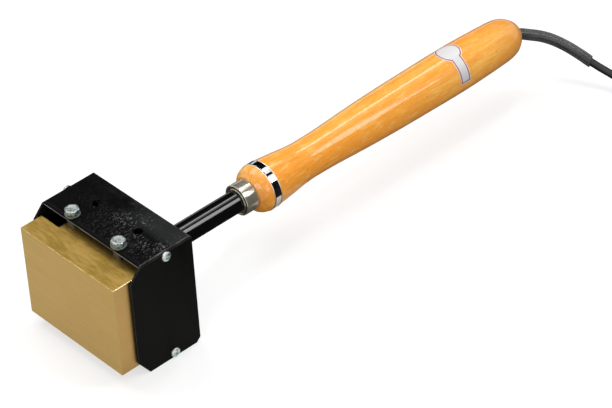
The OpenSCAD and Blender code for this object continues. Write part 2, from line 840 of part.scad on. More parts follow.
module terminal_screws() {
    color([0.72, 0.6, 0.34])
    for (k = [-1:1], y = [0.25, 0.75])
        difference() {
            bar_z(1.2, k * terminal_pitch, terminal_y + terminal_l * y, 0.6, terminal_h / 2 - 1.2);
            translate([k * terminal_pitch - 1.5, terminal_y + terminal_l * y - 0.25, terminal_h / 2 - 1.2])
                cube([3, 0.5, 1]);
        }
}

module cord_cores() {
    colours = [[0.45, 0.28, 0.16], [0.55, 0.68, 0.2], [0.2, 0.35, 0.7]];
    y0 = terminal_y + terminal_l;
    for (k = [-1:1])
        color(colours[k + 1])
        swept([[k * terminal_pitch, y0, 0], [k * terminal_pitch, y0 + 6, 0],
               [k * 2.05, jacket_y - 10, k == 0 ? 1.2 : -0.7], [k * 1.15, jacket_y, k == 0 ? 1.2 : -0.7]],
              1, cord_sides);
}

module inner_cord() {
    color([0.08, 0.08, 0.09]) bar_y(cord_d / 2, jacket_y, cord_start - jacket_y);
}

module cord_grip() {
    color([0.15, 0.15, 0.15]) ring_y(grip_ring_d / 2, cord_d / 2 + seat, grip_ring_y, grip_ring_l);
}

module clear_sleeve() {
    curved = [for (i = [0:sleeve_points - 1]) cord_route[i]];
    last = cord_route[sleeve_points - 1];
    past = last + 2 * unit(last - cord_route[sleeve_points - 2]);
    color([0.75, 0.77, 0.8, 0.5])
    difference() {
        swept(concat([[0, sleeve_y, 0]], curved), clear_d / 2, 12);
        swept(concat([[0, sleeve_y - 2, 0]], curved, [past]), clear_bore / 2, 12);
    }
}

module mains_cord() {
    color([0.06, 0.06, 0.06]) swept(cord_route, cord_d / 2, cord_sides);
}

// The coil winds in and out twice, in four layers, and climbs one in each half turn where it reverses
coil_end = coil_loops + 0.25;
function wound_in(t) = let (s = t % (coil_end / 2)) min(s, coil_end / 2 - s);
function climb(s) = let (c = min(max(s, 0), 1)) c * c * (3 - 2 * c);
function layers_up(t) =
    climb((t - coil_end / 4) * 2 + 0.5) + climb((t - coil_end / 2) * 2 + 0.5)
    + climb((t - coil_end * 3 / 4) * 2 + 0.5);
function coil_point(t) =
    let (a = 360 * t, r = coil_r - coil_step * wound_in(t))
    [coil_at[0] + r * cos(a), coil_at[1] + r * sin(a), coil_z + coil_layer * layers_up(t)];
coil_turns = [for (i = [0:coil_end * loop_rings - 1]) coil_point(i / loop_rings)];
coil_path = concat(
    [[coil_at[0] + coil_r, coil_at[1] - 7, coil_z]], coil_turns,
    [for (x = [0, 7]) [coil_at[0] - x, coil_at[1] + coil_r, coil_z + 3 * coil_layer]]);
coil_gap = min([for (i = [0:len(coil_turns) - 1], j = [i + loop_rings / 2:1:len(coil_turns) - 1])
    norm(coil_turns[i] - coil_turns[j])]) - cord_d;

module cord_coil() {
    echo(str("least gap between the coil's turns: ", coil_gap, " mm"));
    color([0.06, 0.06, 0.06]) swept(coil_path, cord_d / 2, coil_sides);
}

// The tie goes round the bundle of turns at a share of a turn past the coil's start
tie_turn = 0.75;
tied = [for (k = [0:coil_loops - 1]) coil_r - coil_step * wound_in(k + tie_turn)];
module tie_outline(grow) {
    near = min(tied) - cord_d / 2 - 1.1 - grow;
    far = max(tied) + cord_d / 2 + 0.4 + grow;
    low = coil_z - cord_d / 2 - 0.1 - grow;
    high = coil_z + 3 * coil_layer + cord_d / 2 + 0.1 + grow;
    r = 2;
    for (x = [near + r, far - r], z = [low + r, high - r]) translate([x, z]) circle(r);
    translate([near + r, low]) square([far - near - 2 * r, high - low]);
    translate([near, low + r]) square([far - near, high - low - 2 * r]);
}

module cord_tie() {
    color([0.1, 0.1, 0.1])
    translate([coil_at[0], coil_at[1], 0]) rotate([0, 0, 360 * tie_turn]) translate([0, tie_w / 2, 0])
        rotate([90, 0, 0]) linear_extrude(tie_w) difference() {
            tie_outline(tie_t);
            tie_outline(0);
        }
}

module cord_tail() {
    color([0.06, 0.06, 0.06]) swept(tail_route, cord_d / 2, cord_sides);
}

// The plug's pieces are drawn along +X from its relief's end, and turned round to point along -X
module at_plug() {
    translate(plug_at) rotate([0, 0, 180]) children();
}

// A solid turned about the plug's axis from [radius, x] points
module plug_turned(outline) {
    rotate([0, 90, 0]) rotate_extrude() polygon(outline);
}

plug_face = relief_l + plug_grip_l + plug_front_l;
clip_w = 4.6;
pin_root_l = 8;

module plug_strain_relief() {
    ribs = 5;
    pitch = relief_l / ribs;
    outline = [for (i = [0:ribs - 1]) each let (x = i * pitch, r = 4.6 + 0.5 * i)
        [[r, x], [r, x + pitch * 0.6], [r - 0.9, x + pitch * 0.6], [r - 0.9, x + pitch]]];
    color([0.07, 0.07, 0.07])
    at_plug() plug_turned(concat([[0, 0]], outline, [[0, relief_l]]));
}

module plug_body() {
    earth_socket_l = 17;
    earth_socket_at = 10;
    r = plug_d / 2;
    x = relief_l;
    neck = x + plug_grip_l;
    color([0.07, 0.07, 0.07])
    at_plug() difference() {
        plug_turned([
            [0, x], [8, x], [9.5, x + 2], [10.5, x + plug_grip_l * 0.5], [12.5, x + plug_grip_l * 0.8],
            [r - 1.5, neck], [r, neck + 2], [r, plug_face - 1], [r - 1, plug_face], [0, plug_face]]);
        for (s = [-1, 1])
            translate([neck + 4, -3.2, s > 0 ? r - 2.8 : -r - 1]) cube([plug_front_l, 6.4, 3.8]);
        translate([plug_face - earth_socket_l, 0, earth_socket_at]) rotate([0, 90, 0])
            cylinder(d = plug_pin_d + 0.2, h = earth_socket_l + 1);
        for (s = [-1, 1])
            translate([plug_face - pin_root_l, s * plug_pin_spacing / 2, 0]) rotate([0, 90, 0])
                cylinder(d = plug_pin_d + 1, h = pin_root_l + 1);
    }
}

module plug_pins() {
    color([0.85, 0.83, 0.76])
    at_plug() for (s = [-1, 1])
        translate([plug_face, s * plug_pin_spacing / 2, 0]) rotate([0, 90, 0])
            rotate_extrude() polygon([
                [0, -pin_root_l], [(plug_pin_d + 1) / 2, -pin_root_l], [(plug_pin_d + 1) / 2, 0],
                [plug_pin_d / 2, 0], [plug_pin_d / 2, plug_pin_l - 1], [plug_pin_d / 2 - 1, plug_pin_l],
                [0, plug_pin_l]]);
}

module plug_earth_contacts() {
    r = plug_d / 2;
    x = relief_l + plug_grip_l + 4;
    color([0.85, 0.83, 0.76])
    at_plug() translate([x, -clip_w / 2, 0]) both_levels() translate([0, 0, r - 2.75]) {
        cube([plug_front_l - 4, clip_w, 0.8]);
        translate([3, 0, 0.8 - eps]) cube([plug_front_l - 9, clip_w, 1]);
    }
}

die_block();
hood_shell();
side_plate_left();
side_plate_right();
side_screws();
clamp_screw_left();
clamp_screw_right();
clamp_washer_left();
clamp_washer_right();
spacer_sleeves();
heater_block();
cartridge_heater_left();
cartridge_heater_right();
heater_lock_screws();
standoff_spacers();
rear_bolts();
rear_spring_washers();
insulation_bottom();
insulation_left();
insulation_right();
insulation_rear();
wire_bush();
stem_flange();
stem_tube();
heater_leads_left();
heater_leads_right();
earth_wire();
earth_lug();
earth_screw();
ferrule();
wood_handle();
stem_pins();
handle_band();
handle_label();
terminal_block();
terminal_inserts();
terminal_screws();
cord_cores();
inner_cord();
cord_grip();
clear_sleeve();
mains_cord();
cord_coil();
cord_tie();
cord_tail();
plug_strain_relief();
plug_body();
plug_pins();
plug_earth_contacts();
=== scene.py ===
# %% [markdown]
# # An electric branding iron, dressed for its picture
#
# This tool burns a mark into wood. A brass stamp is clamped to a hot head in a black steel
# hood, and a steel stem carries a turned beech handle, out of which the mains lead comes.
# The measured model is loaded first and is never moved. Each piece below is modelled in
# metres at its real place on that model, and then rides on the body that carries it.

# %% Load the measured model
import math
import bmesh
import bpy
from mathutils import Matrix, Vector


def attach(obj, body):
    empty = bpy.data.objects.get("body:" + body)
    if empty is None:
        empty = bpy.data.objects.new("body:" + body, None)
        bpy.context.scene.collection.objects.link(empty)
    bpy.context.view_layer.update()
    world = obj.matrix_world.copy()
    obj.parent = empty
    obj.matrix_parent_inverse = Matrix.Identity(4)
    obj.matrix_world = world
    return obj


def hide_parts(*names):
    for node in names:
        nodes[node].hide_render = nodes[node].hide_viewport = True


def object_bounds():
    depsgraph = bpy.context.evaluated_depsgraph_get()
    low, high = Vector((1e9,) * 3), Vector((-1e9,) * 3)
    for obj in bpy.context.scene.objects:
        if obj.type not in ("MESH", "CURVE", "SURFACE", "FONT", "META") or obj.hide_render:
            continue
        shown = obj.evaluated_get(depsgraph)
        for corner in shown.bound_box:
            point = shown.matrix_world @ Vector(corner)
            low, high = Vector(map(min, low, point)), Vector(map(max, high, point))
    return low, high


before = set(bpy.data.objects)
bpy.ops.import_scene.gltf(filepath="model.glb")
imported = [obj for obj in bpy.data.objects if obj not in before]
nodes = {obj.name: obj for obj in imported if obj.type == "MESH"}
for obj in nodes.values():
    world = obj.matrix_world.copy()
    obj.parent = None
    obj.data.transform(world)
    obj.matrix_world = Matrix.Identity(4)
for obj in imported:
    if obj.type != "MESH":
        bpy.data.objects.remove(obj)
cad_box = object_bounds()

print("measured nodes:", len(nodes))

# %% [markdown]
# ## The camera
#
# The picture looks down on the tool from the right of its working face, with a long lens, so
# the edges of the brass block hardly converge. The camera could be placed by hand until the
# outline fits. Here its place and axes were solved from a few corners whose sizes are known,
# and they are written as a point and three directions. The frame is 612 by 408, and the lens
# is long enough to keep it as flat as the picture.

# %% Camera
eye = Vector((1.3346, -0.9337, 1.3619))
to_right = Vector((0.68384, 0.72822, -0.04536))
to_top = Vector((-0.42907, 0.45165, 0.78225))
to_back = Vector((0.59014, -0.51547, 0.62131))

bpy.ops.object.camera_add()
camera = bpy.context.object
camera.name = "picture_camera"
camera.matrix_world = Matrix((to_right, to_top, to_back)).transposed().to_4x4()
camera.matrix_world.translation = eye
camera.data.sensor_width = 36
camera.data.lens = 170.88
camera.data.clip_end = 30
bpy.context.scene.camera = camera
print("camera at", tuple(round(v, 3) for v in eye), "lens", camera.data.lens)

# %% [markdown]
# ## Words for the workshop
#
# Sizes below are in millimetres, because the tool was measured in them, and Blender works in
# metres. Everything is deselected before a new piece is begun, since Blender's tools act on
# all that is selected.

# %% Small helpers
MM = 0.001


def mm(x, y, z):
    """A point in metres from millimetres."""
    return Vector((x * MM, y * MM, z * MM))


def alone(piece=None):
    """Selects one piece, or nothing, and leaves edit mode."""
    if bpy.context.object and bpy.context.object.mode != "OBJECT":
        bpy.ops.object.mode_set(mode="OBJECT")
    bpy.ops.object.select_all(action="DESELECT")
    if piece:
        bpy.context.view_layer.objects.active = piece
        piece.select_set(True)


def name_it(name):
    """Names the piece that was just made, and hands it back."""
    piece = bpy.context.object
    piece.name = piece.data.name = name
    return piece


# %% [markdown]
# ## Materials from expressions
#
# A finish is a small picture made of numbers: noise, masks and mixes that feed the shader.
# Nodes could be placed one by one, but the arithmetic between them is easier to read as
# ordinary expressions. The class below wraps a node's output, and each plus, minus or times
# between such outputs adds the Math node that does it.


# %% Sockets that can be added and multiplied
class Signal:
    """A node's output. Arithmetic on it adds Math nodes, and node() adds any other kind."""

    def __init__(self, tree, socket=None):
        self.tree, self.socket = tree, socket

    def node(self, kind, settings=None, sockets=None, out=0):
        made = self.tree.nodes.new(kind)
        for key, value in (settings or {}).items():
            if key == "stops":
                ramp = made.color_ramp
                while len(ramp.elements) < len(value):
                    ramp.elements.new(1)
                for element, (at, colour) in zip(ramp.elements, value):
                    element.position, element.color = at, (*colour, 1)
            else:
                setattr(made, key, value)
        for key, value in (sockets or {}).items():
            if isinstance(value, Signal):
                self.tree.links.new(value.socket, made.inputs[key])
            elif value is not None:
                made.inputs[key].default_value = value
        return Signal(self.tree, made.outputs[out])

    def math(self, operation, *others, **settings):
        values = dict(enumerate((self, *others)))
        return self.node("ShaderNodeMath", {"operation": operation, **settings}, values)

    def __add__(self, other):
        return self.math("ADD", other)

    def __sub__(self, other):
        return self.math("SUBTRACT", other)

    def __mul__(self, other):
        return self.math("MULTIPLY", other)

    def __truediv__(self, other):
        return self.math("DIVIDE", other)

    def __rsub__(self, other):
        return self.node("ShaderNodeMath", {"operation": "SUBTRACT"}, {0: other, 1: self})

    __radd__ = __add__
    __rmul__ = __mul__

    def step(self, low, high, bottom=0, top=1):
        """Bottom where the value is under low, top where it is over high, smooth between."""
        return self.node("ShaderNodeMapRange", {"interpolation_type": "SMOOTHSTEP"},
                         {0: self, 1: low, 2: high, 3: bottom, 4: top})

    def mix(self, first, second):
        """The first colour where this mask is 0, and the second where it is 1."""
        pair = [(*c, 1) if isinstance(c, tuple) else c for c in (first, second)]
        return self.node("ShaderNodeMix", {"data_type": "RGBA"},
                         {0: self, 6: pair[0], 7: pair[1]}, out=2)


# %% [markdown]
# ## Noise at the right scale
#
# Most finishes here are noise that is stretched along one direction, as brushing, milling and
# wood grain are. The pattern is read from Object coordinates, which are metres on the real
# thing, so a number of waves per metre means the same on every piece.


# %% A finish, its coordinates and its noise
def linear(red, green, blue):
    """A colour picked on screen, 0 to 255, as the linear values that a shader wants."""
    def one(v):
        v /= 255
        return v / 12.92 if v <= 0.04045 else ((v + 0.055) / 1.055) ** 2.4
    return one(red), one(green), one(blue)


class Finish:
    """A material with one glossy shader. Numbers go to its sockets, and signals are linked."""

    def __init__(self, name, **sockets):
        self.material = bpy.data.materials.new(name)
        self.material.use_nodes = True
        self.tree = self.material.node_tree
        self.shader = self.tree.nodes["Principled BSDF"]
        self.start = Signal(self.tree)
        self.here = self.start.node("ShaderNodeTexCoord", out=3)
        self.feed(**sockets)

    def feed(self, **sockets):
        for key, value in sockets.items():
            socket = self.shader.inputs[key.replace("_", " ").title().replace("Ior", "IOR")]
            if isinstance(value, Signal):
                self.tree.links.new(value.socket, socket)
            else:
                socket.default_value = (*value, 1) if isinstance(value, tuple) else value

    def noise(self, x, y, z, detail=3.0, rough=0.55, seed=0.0, kind="ShaderNodeTexNoise"):
        """Noise with so many waves to the metre along each axis."""
        place = self.start.node("ShaderNodeMapping", None, {0: self.here, 3: (x, y, z)})
        place.socket.node.inputs[1].default_value = (seed, seed * 0.7, seed * 1.3)
        return self.start.node(kind, None,
                               {"Vector": place, "Scale": 1.0, "Detail": detail, "Roughness": rough})

    def axes(self):
        """The place on the object, as three signals in millimetres."""
        split = self.start.node("ShaderNodeSeparateXYZ", None, {0: self.here})
        made = split.socket.node
        return [Signal(self.tree, made.outputs[i]) * 1000 for i in range(3)]

    def bump(self, height, distance):
        """Raises the surface by up to this many metres where height is 1."""
        lifted = self.start.node("ShaderNodeBump", None,
                                 {"Height": height, "Distance": distance, "Strength": 1.0})
        self.feed(normal=lifted)


# %% [markdown]
# ## The mains lead
#
# The lead is one length of rubber cable. It leaves the end of the handle, falls to the bench
# and runs out of the picture. The rest of it would be in the way of anyone who places the
# tool in a room, so it is wound into a coil of four short layers behind the handle and ends
# in a plug. A single curve with a round section is the natural way to make it: its length is
# exact, and no seam can open between the parts. Its points repeat the route of the measured
# model.

# %% Route of the lead
free_run = [
    (0, 452, 0), (0, 456, 0), (1, 461, -0.1), (4, 468, -1), (8, 476, -4), (15, 486, -8), (24, 495, -14),
    (35, 502, -21), (48, 508, -29), (66, 514, -36), (84, 519, -41.5), (100, 528, -45),
    (113, 541, -46), (122, 557, -46), (127, 575, -46), (128, 590, -46), (128, 597, -46)]
tail_run = [
    (84, 648, -25), (77, 648, -25), (66, 648.5, -25.9), (57, 650, -28.1), (48, 651.5, -30.3),
    (41, 652, -31.3), (37, 652, -31.5), (33, 652, -31.5)]
turns, turn_radius, turn_step, layer = 8.25, 44, 7.2, 7


def climb(share):
    share = min(max(share, 0), 1)
    return share * share * (3 - 2 * share)


def coil_point(turn):
    """A point of the coil: in and out twice, and up a layer at each change."""
    part = turn % (turns / 2)
    radius = turn_radius - turn_step * min(part, turns / 2 - part)
    height = sum(climb((turn - turns * quarter / 4) * 2 + 0.5) for quarter in (1, 2, 3))
    angle = math.tau * turn
    return 84 + radius * math.cos(angle), 604 + radius * math.sin(angle), -46 + layer * height


per_turn = 24
coil_run = [coil_point(i / per_turn) for i in range(int(turns * per_turn))]
lead_points = [mm(*p) for p in free_run + coil_run + tail_run]
print("points of the lead:", len(lead_points))


# %% [markdown]
# ## Rubber, and the lead itself
#
# Rubber cable is matt and never quite black. A little noise in its colour and a fine bump
# keep it from looking like paint.

# %% The lead as one curve
def rubber(name, grey, roughness=0.5):
    made = Finish(name, roughness=roughness, specular_ior_level=0.45)
    cloud = made.noise(180, 180, 180, 4, seed=3)
    grain = made.noise(2600, 2600, 2600, 2, seed=5)
    dark = tuple(c * 0.7 for c in linear(*grey))
    light = tuple(c * 1.5 for c in linear(*grey))
    made.feed(base_color=cloud.step(0.3, 0.7).mix(dark, light),
              roughness=cloud.step(0.3, 0.7, roughness - 0.07, roughness + 0.08))
    made.bump(grain, 0.00001)
    return made.material


def follow(name, points, radius, sides=5, straight=False):
    """A round bar along a smooth curve through the points, or along straight runs."""
    data = bpy.data.curves.new(name, "CURVE")
    data.dimensions = "3D"
    data.bevel_depth, data.bevel_resolution = radius * MM, sides
    data.use_fill_caps = True
    data.resolution_u = 3
    line = data.splines.new("BEZIER")
    line.bezier_points.add(len(points) - 1)
    for knot, point in zip(line.bezier_points, points):
        knot.co = point
        knot.handle_left_type = knot.handle_right_type = "VECTOR" if straight else "AUTO"
    made = bpy.data.objects.new(name, data)
    bpy.context.scene.collection.objects.link(made)
    return made


cable_rubber = rubber("cable_rubber", (9, 9, 10))
lead = follow("lead", lead_points, 3.25)
lead.data.materials.append(cable_rubber)
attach(lead, "tool")
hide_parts("mains_cord", "cord_coil", "cord_tail")

# %% [markdown]
# ## Floor, world and lamps
#
# The picture has a pure white ground. The floor is white paper, and for the camera and for
# mirror-like surfaces it also glows a little, so that it reaches full white away from the
# shadow. The lamps are large soft boxes, because the polished parts show them as broad
# streaks. Metal and lacquer also need something dark to mirror, or they look like grey
# plastic, so black cards stand beyond the picture, where only reflections find them. More
# cards, black and grey, lie on the floor under and beside the tool; they too are seen only in
# reflections, where they stand in for the tool's shadow on the floor as painted shade.

# %% Stage and light
alone()
floor_z = cad_box[0].z
bpy.ops.mesh.primitive_plane_add(size=9, location=(0, 0.3, floor_z - 0.0002))
floor = bpy.context.object
floor.name = "paper_floor"
paper = Finish("white_paper", roughness=0.9, specular_ior_level=0.1)
rays = paper.start.node("ShaderNodeLightPath").socket.node.outputs
seen = Signal(paper.tree, rays["Is Camera Ray"]).math(
    "ADD", Signal(paper.tree, rays["Is Glossy Ray"]), use_clamp=True).math(
    "ADD", Signal(paper.tree, rays["Is Transmission Ray"]), use_clamp=True)
paper.feed(base_color=(0.42, 0.42, 0.42), emission_color=(1.0, 1.0, 1.0))
paper.tree.links.new((seen * 0.62).socket, paper.shader.inputs["Emission Strength"])
floor.data.materials.append(paper.material)

world = bpy.data.worlds.new("studio")
bpy.context.scene.world = world
world.use_nodes = True
sky = Signal(world.node_tree)
rays = sky.node("ShaderNodeLightPath").socket.node.outputs
shown = sum((Signal(world.node_tree, rays[f"Is {kind} Ray"]) for kind in ("Glossy", "Transmission")),
            Signal(world.node_tree, rays["Is Camera Ray"]))
backdrop = world.node_tree.nodes["Background"]
backdrop.inputs["Color"].default_value = (1, 1, 1, 1)
world.node_tree.links.new((shown.step(0, 1) * 0.65 + 0.35).socket, backdrop.inputs["Strength"])


def facing(piece, place, aim):
    """Puts a piece at a point and turns it to look at another."""
    piece.location = place
    piece.rotation_euler = (Vector(aim) - Vector(place)).to_track_quat("-Z", "Y").to_euler()


def soft_box(name, place, aim, size, power):
    """A rectangular lamp that looks at a point."""
    bpy.ops.object.light_add(type="AREA")
    lamp = bpy.context.object
    lamp.name = name
    lamp.data.shape = "RECTANGLE"
    lamp.data.size, lamp.data.size_y = size
    lamp.data.energy = power
    facing(lamp, place, aim)


def card(name, place, aim, size, shade=(0.01, 0.01, 0.01)):
    """A card that is seen only in reflections, as a photographer hangs one."""
    alone()
    bpy.ops.mesh.primitive_plane_add(size=1)
    made = name_it(name)
    made.scale = (*size, 1)
    facing(made, place, aim)
    made.data.materials.append(Finish(name, base_color=shade, roughness=1.0,
                                      specular_ior_level=0.0).material)
    made.visible_camera = made.visible_diffuse = made.visible_shadow = made.visible_transmission = False


soft_box("key_box", (-0.9, 0.0, 1.5), (0, 0.1, 0), (1.2, 0.8), 13)
soft_box("top_box", (0.15, 0.4, 2.0), (0, 0.2, 0), (1.3, 1.3), 8.5)
soft_box("front_box", (0.7, -1.7, 0.9), (0, 0.1, 0), (1.0, 0.7), 9)
soft_box("side_box", (1.8, -0.1, 0.7), (0, 0.2, 0), (0.7, 1.0), 5)
soft_box("thin_streak", (-0.237, 1.03, 1.683), (0, 0.3, 0), (0.26, 1.1), 6.2)
soft_box("broad_streak", (1.09, 1.06, 1.304), (0, 0.3, 0), (0.38, 0.97), 7.9)
floor_height = floor_z + 0.002
hangings = [
    ("left_card", (-1.48, 1.38, 1.2), (0, 0.2, 0), (3.2, 2.0), 0.01),
    ("right_card", (1.75, 1.4, 0.62), (0, 0.25, 0), (2.0, 1.7), 0.01),
    ("near_gap_card", (0.534, 1.023, 1.61), (0, 1.023, 0), (0.6, 0.346), 0.01),
    ("far_gap_card", (0.534, 1.60, 1.61), (0, 1.60, 0), (0.6, 0.7), 0.01),
    # Cards on the floor under and beside the tool: painted shade that reflections see in place of the floor.
    ("low_card", (1.07, 0.72, floor_height), (1.07, 0.72, -1), (2.0, 1.2), 0.01),
    ("stem_card", (-0.465, 0.145, floor_height), (-0.465, 0.145, -1), (1.07, 0.12), 0.02),
    ("ferrule_card", (-0.465, 0.2275, floor_height), (-0.465, 0.2275, -1), (1.07, 0.045), 0.5),
    ("wood_card", (-0.465, 0.785, floor_height), (-0.465, 0.785, -1), (1.07, 1.07), 0.09)]
for name, place, aim, size, shade in hangings:
    card(name, place, aim, size, (shade, shade * 0.94, shade * 0.86))

# %% [markdown]
# ## Tools for shaping
#
# Three ways of making cover nearly every piece here. A block is a cube brought to size. A
# turned piece is an outline, drawn one point at a time by extruding a single vertex, and then
# spun round the tool's long axis as a lathe would turn it. A folded piece is an outline
# extruded sideways. Holes are drilled by subtracting a bar, and edges are eased with a bevel,
# since no real edge is perfectly sharp and it is the bevel that catches the light.

# %% Block, outline, lathe
def block(name, low, high):
    """A cube brought to the size between two corners in millimetres."""
    alone()
    low, high = Vector(low), Vector(high)
    bpy.ops.mesh.primitive_cube_add(size=1, location=(low + high) / 2 * MM)
    bpy.context.object.scale = (high - low) * MM
    bpy.ops.object.transform_apply(location=True, rotation=True, scale=True)
    return name_it(name)


def outline(name, points, closed=False):
    """A chain of edges through points in millimetres, left in edit mode."""
    alone()
    bpy.ops.mesh.primitive_plane_add(size=0.001, location=(0, 0, 0))
    piece = name_it(name)
    bpy.ops.object.mode_set(mode="EDIT")
    bpy.ops.mesh.select_mode(type="VERT")
    bpy.ops.mesh.select_all(action="SELECT")
    bpy.ops.mesh.merge(type="CENTER")
    bpy.ops.transform.translate(value=mm(*points[0]))
    for here, there in zip(points, points[1:] + points[:1] if closed else points[1:]):
        step = mm(*there) - mm(*here)
        bpy.ops.mesh.extrude_region_move(TRANSFORM_OT_translate={"value": step})
    bpy.ops.mesh.select_all(action="SELECT")
    bpy.ops.mesh.remove_doubles(threshold=1e-6)
    return piece


def tidy_mesh(inside=False):
    """In edit mode: joins doubled points and turns every face outwards."""
    bpy.ops.mesh.select_all(action="SELECT")
    bpy.ops.mesh.remove_doubles(threshold=1e-6)
    bpy.ops.mesh.normals_make_consistent(inside=inside)


def turned(name, profile, steps=64):
    """Spins (radius, y) points in millimetres round the Y axis."""
    piece = outline(name, [(r, y, 0) for r, y in profile])
    bpy.ops.mesh.spin(steps=steps, angle=math.tau, center=(0, 0, 0), axis=(0, 1, 0))
    tidy_mesh()
    bpy.ops.object.mode_set(mode="OBJECT")
    return piece


def plate(name, points, thickness):
    """A filled outline given its thickness, a vector in millimetres."""
    piece = outline(name, points, closed=True)
    bpy.ops.mesh.edge_face_add()
    bpy.ops.mesh.extrude_region_move(TRANSFORM_OT_translate={"value": mm(*thickness)})
    tidy_mesh()
    bpy.ops.object.mode_set(mode="OBJECT")
    return piece


# %% [markdown]
# ## Drilling, easing and placing
#
# A boolean needs a cutter that passes right through, so each bar is longer than the wall. A
# finished piece has its place in its mesh, so that its pattern stays put.


# %% Bar, cut, ease, copy, finish
AXES = {"X": (0, math.pi / 2, 0), "Y": (-math.pi / 2, 0, 0), "Z": (0, 0, 0)}


def bar(axis, centre, radius, length, sides=48):
    """A round bar about its centre, used to drill with or to start a pin from."""
    alone()
    bpy.ops.mesh.primitive_cylinder_add(vertices=sides, radius=radius * MM, depth=length * MM,
                                        location=mm(*centre), rotation=AXES[axis])
    bpy.ops.object.transform_apply(location=True, rotation=True, scale=True)
    return name_it("bar")


def apply(piece, kind, **settings):
    """Adds a modifier, sets it up and applies it."""
    modifier = piece.modifiers.new("step", kind)
    for key, value in settings.items():
        setattr(modifier, key, value)
    alone(piece)
    bpy.ops.object.modifier_apply(modifier="step")


def cut(piece, *cutters, operation="DIFFERENCE"):
    for cutter in cutters:
        apply(piece, "BOOLEAN", operation=operation, object=cutter, solver="EXACT")
        bpy.data.objects.remove(cutter)


def ease(piece, width, segments=2, material=-1, angle=35):
    """Rounds or chamfers every edge that is sharper than the angle."""
    while len(piece.data.materials) <= material:
        piece.data.materials.append(None)
    apply(piece, "BEVEL", width=width * MM, segments=segments, limit_method="ANGLE",
          angle_limit=math.radians(angle), material=material, use_clamp_overlap=True)


def join(piece, *others):
    alone(piece)
    for other in others:
        other.select_set(True)
    bpy.ops.object.join()


def place(piece, at=(0, 0, 0), turn=(0, 0, 0)):
    piece.location = mm(*at)
    piece.rotation_euler = [math.radians(a) for a in turn]
    alone(piece)
    bpy.ops.object.transform_apply(location=True, rotation=True, scale=True)


def copy(piece, name, at=(0, 0, 0), turn=(0, 0, 0)):
    alone(piece)
    bpy.ops.object.duplicate(linked=False)
    made = name_it(name)
    place(made, at, turn)
    return made


def done(piece, body, slot, materials, *replaced, smooth=30, flat=False):
    """Smooths, paints and hangs a piece on its body. Flat sides keep their shading even."""
    alone(piece)
    bpy.ops.object.transform_apply(location=True, rotation=True, scale=True)
    bpy.ops.object.shade_smooth_by_angle(angle=math.radians(smooth))
    if flat:
        apply(piece, "WEIGHTED_NORMAL", weight=100, keep_sharp=True)
    materials = materials if isinstance(materials, (list, tuple)) else [materials]
    for at, material in enumerate(materials):
        if at < len(piece.data.materials):
            piece.data.materials[at] = material
        else:
            piece.data.materials.append(material)
    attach(piece, body)
    if replaced:
        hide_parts(*replaced)
    print(f"{piece.name}: {len(piece.data.polygons)} faces")
    return piece


# %% [markdown]
# ## Brass of the stamp
#
# The stamp is a block of milled brass. The cutter leaves very fine lines along the width of
# its face, and handling leaves warm and olive patches on the top; the whole top is also
# painted darker than the front, as painted shade. The right side is painted in a tone of its
# own that grows darker towards the bottom, as painted light and shade, and a painted shadow
# of the hood's lip lies across the back of the top. The edges are broken by a fine chamfer,
# which shines; along the right side its shine is a painted highlight.

# %% Milled brass
def milled_brass():
    made = Finish("milled_brass", metallic=1.0)
    lines = made.noise(9, 260, 1500, 4, 0.65, seed=1)
    patches = made.noise(24, 90, 40, 4, 0.6, seed=2) * 0.6 + made.noise(120, 420, 120, 3, 0.6, seed=5) * 0.4
    x, y, z = made.axes()
    top, right = z.step(39.7, 39.95), x.step(52.2, 52.45)
    face = patches.step(0.3, 0.7).mix(linear(177, 143, 80), linear(171, 144, 75))
    # Painted light: the right side is given a tone of its own, a little lighter than the front.
    face = right.mix(face, linear(180, 145, 88))
    # The top has olive patches from handling, and it is also painted darker than the front as painted shade.
    olive = patches.step(0.4, 0.6).mix(linear(145, 117, 51), linear(173, 142, 76))
    tone = top.mix(face, olive)
    tone = (lines.step(0.42, 0.62) * (0.16 - right * 0.1)).mix(tone, linear(150, 126, 76))
    # Painted shade: the right side grows darker towards the bottom.
    tone = ((z * -1).step(18, 48) * right * 0.4).mix(tone, linear(138, 110, 62))
    # Painted shadow of the hood's lip across the back of the top.
    painted_lip_shadow = y.step(22.5, 25.5) * top
    tone = (painted_lip_shadow * 0.45).mix(tone, linear(96, 70, 18))
    made.feed(base_color=tone, roughness=lines.step(0.3, 0.7, 0.38, 0.46) + patches * 0.06 + painted_lip_shadow * 0.12)
    made.bump(lines * (1 - top) * 0.5 + patches * 0.2, 0.00003)
    return made.material


def brass_edge_with_painted_highlight():
    made = Finish("brass_edge_painted_highlight", metallic=1.0)
    rub = made.noise(160, 160, 160, 3, seed=8)
    x, y, z = made.axes()
    # Along the right side the chamfer is painted almost white, as a painted highlight.
    side = x.step(52, 52.2)
    dull = rub.step(0.35, 0.65).mix(linear(132, 109, 62), linear(176, 150, 96))
    made.feed(base_color=side.mix(dull, linear(255, 236, 184)), roughness=rub.step(0.3, 0.7, 0.3, 0.42))
    return made.material


# %% [markdown]
# ## The stamp
#
# It is one piece of brass: a slab with a plain face, and a tongue behind its upper edge that
# slides under the hood, where two slots take the clamp screws. The tongue stops short on the
# left, which leaves a dark notch beside it. It begins as a
# block. Two cuts across the back mark out the tongue, which is then drawn out of it.

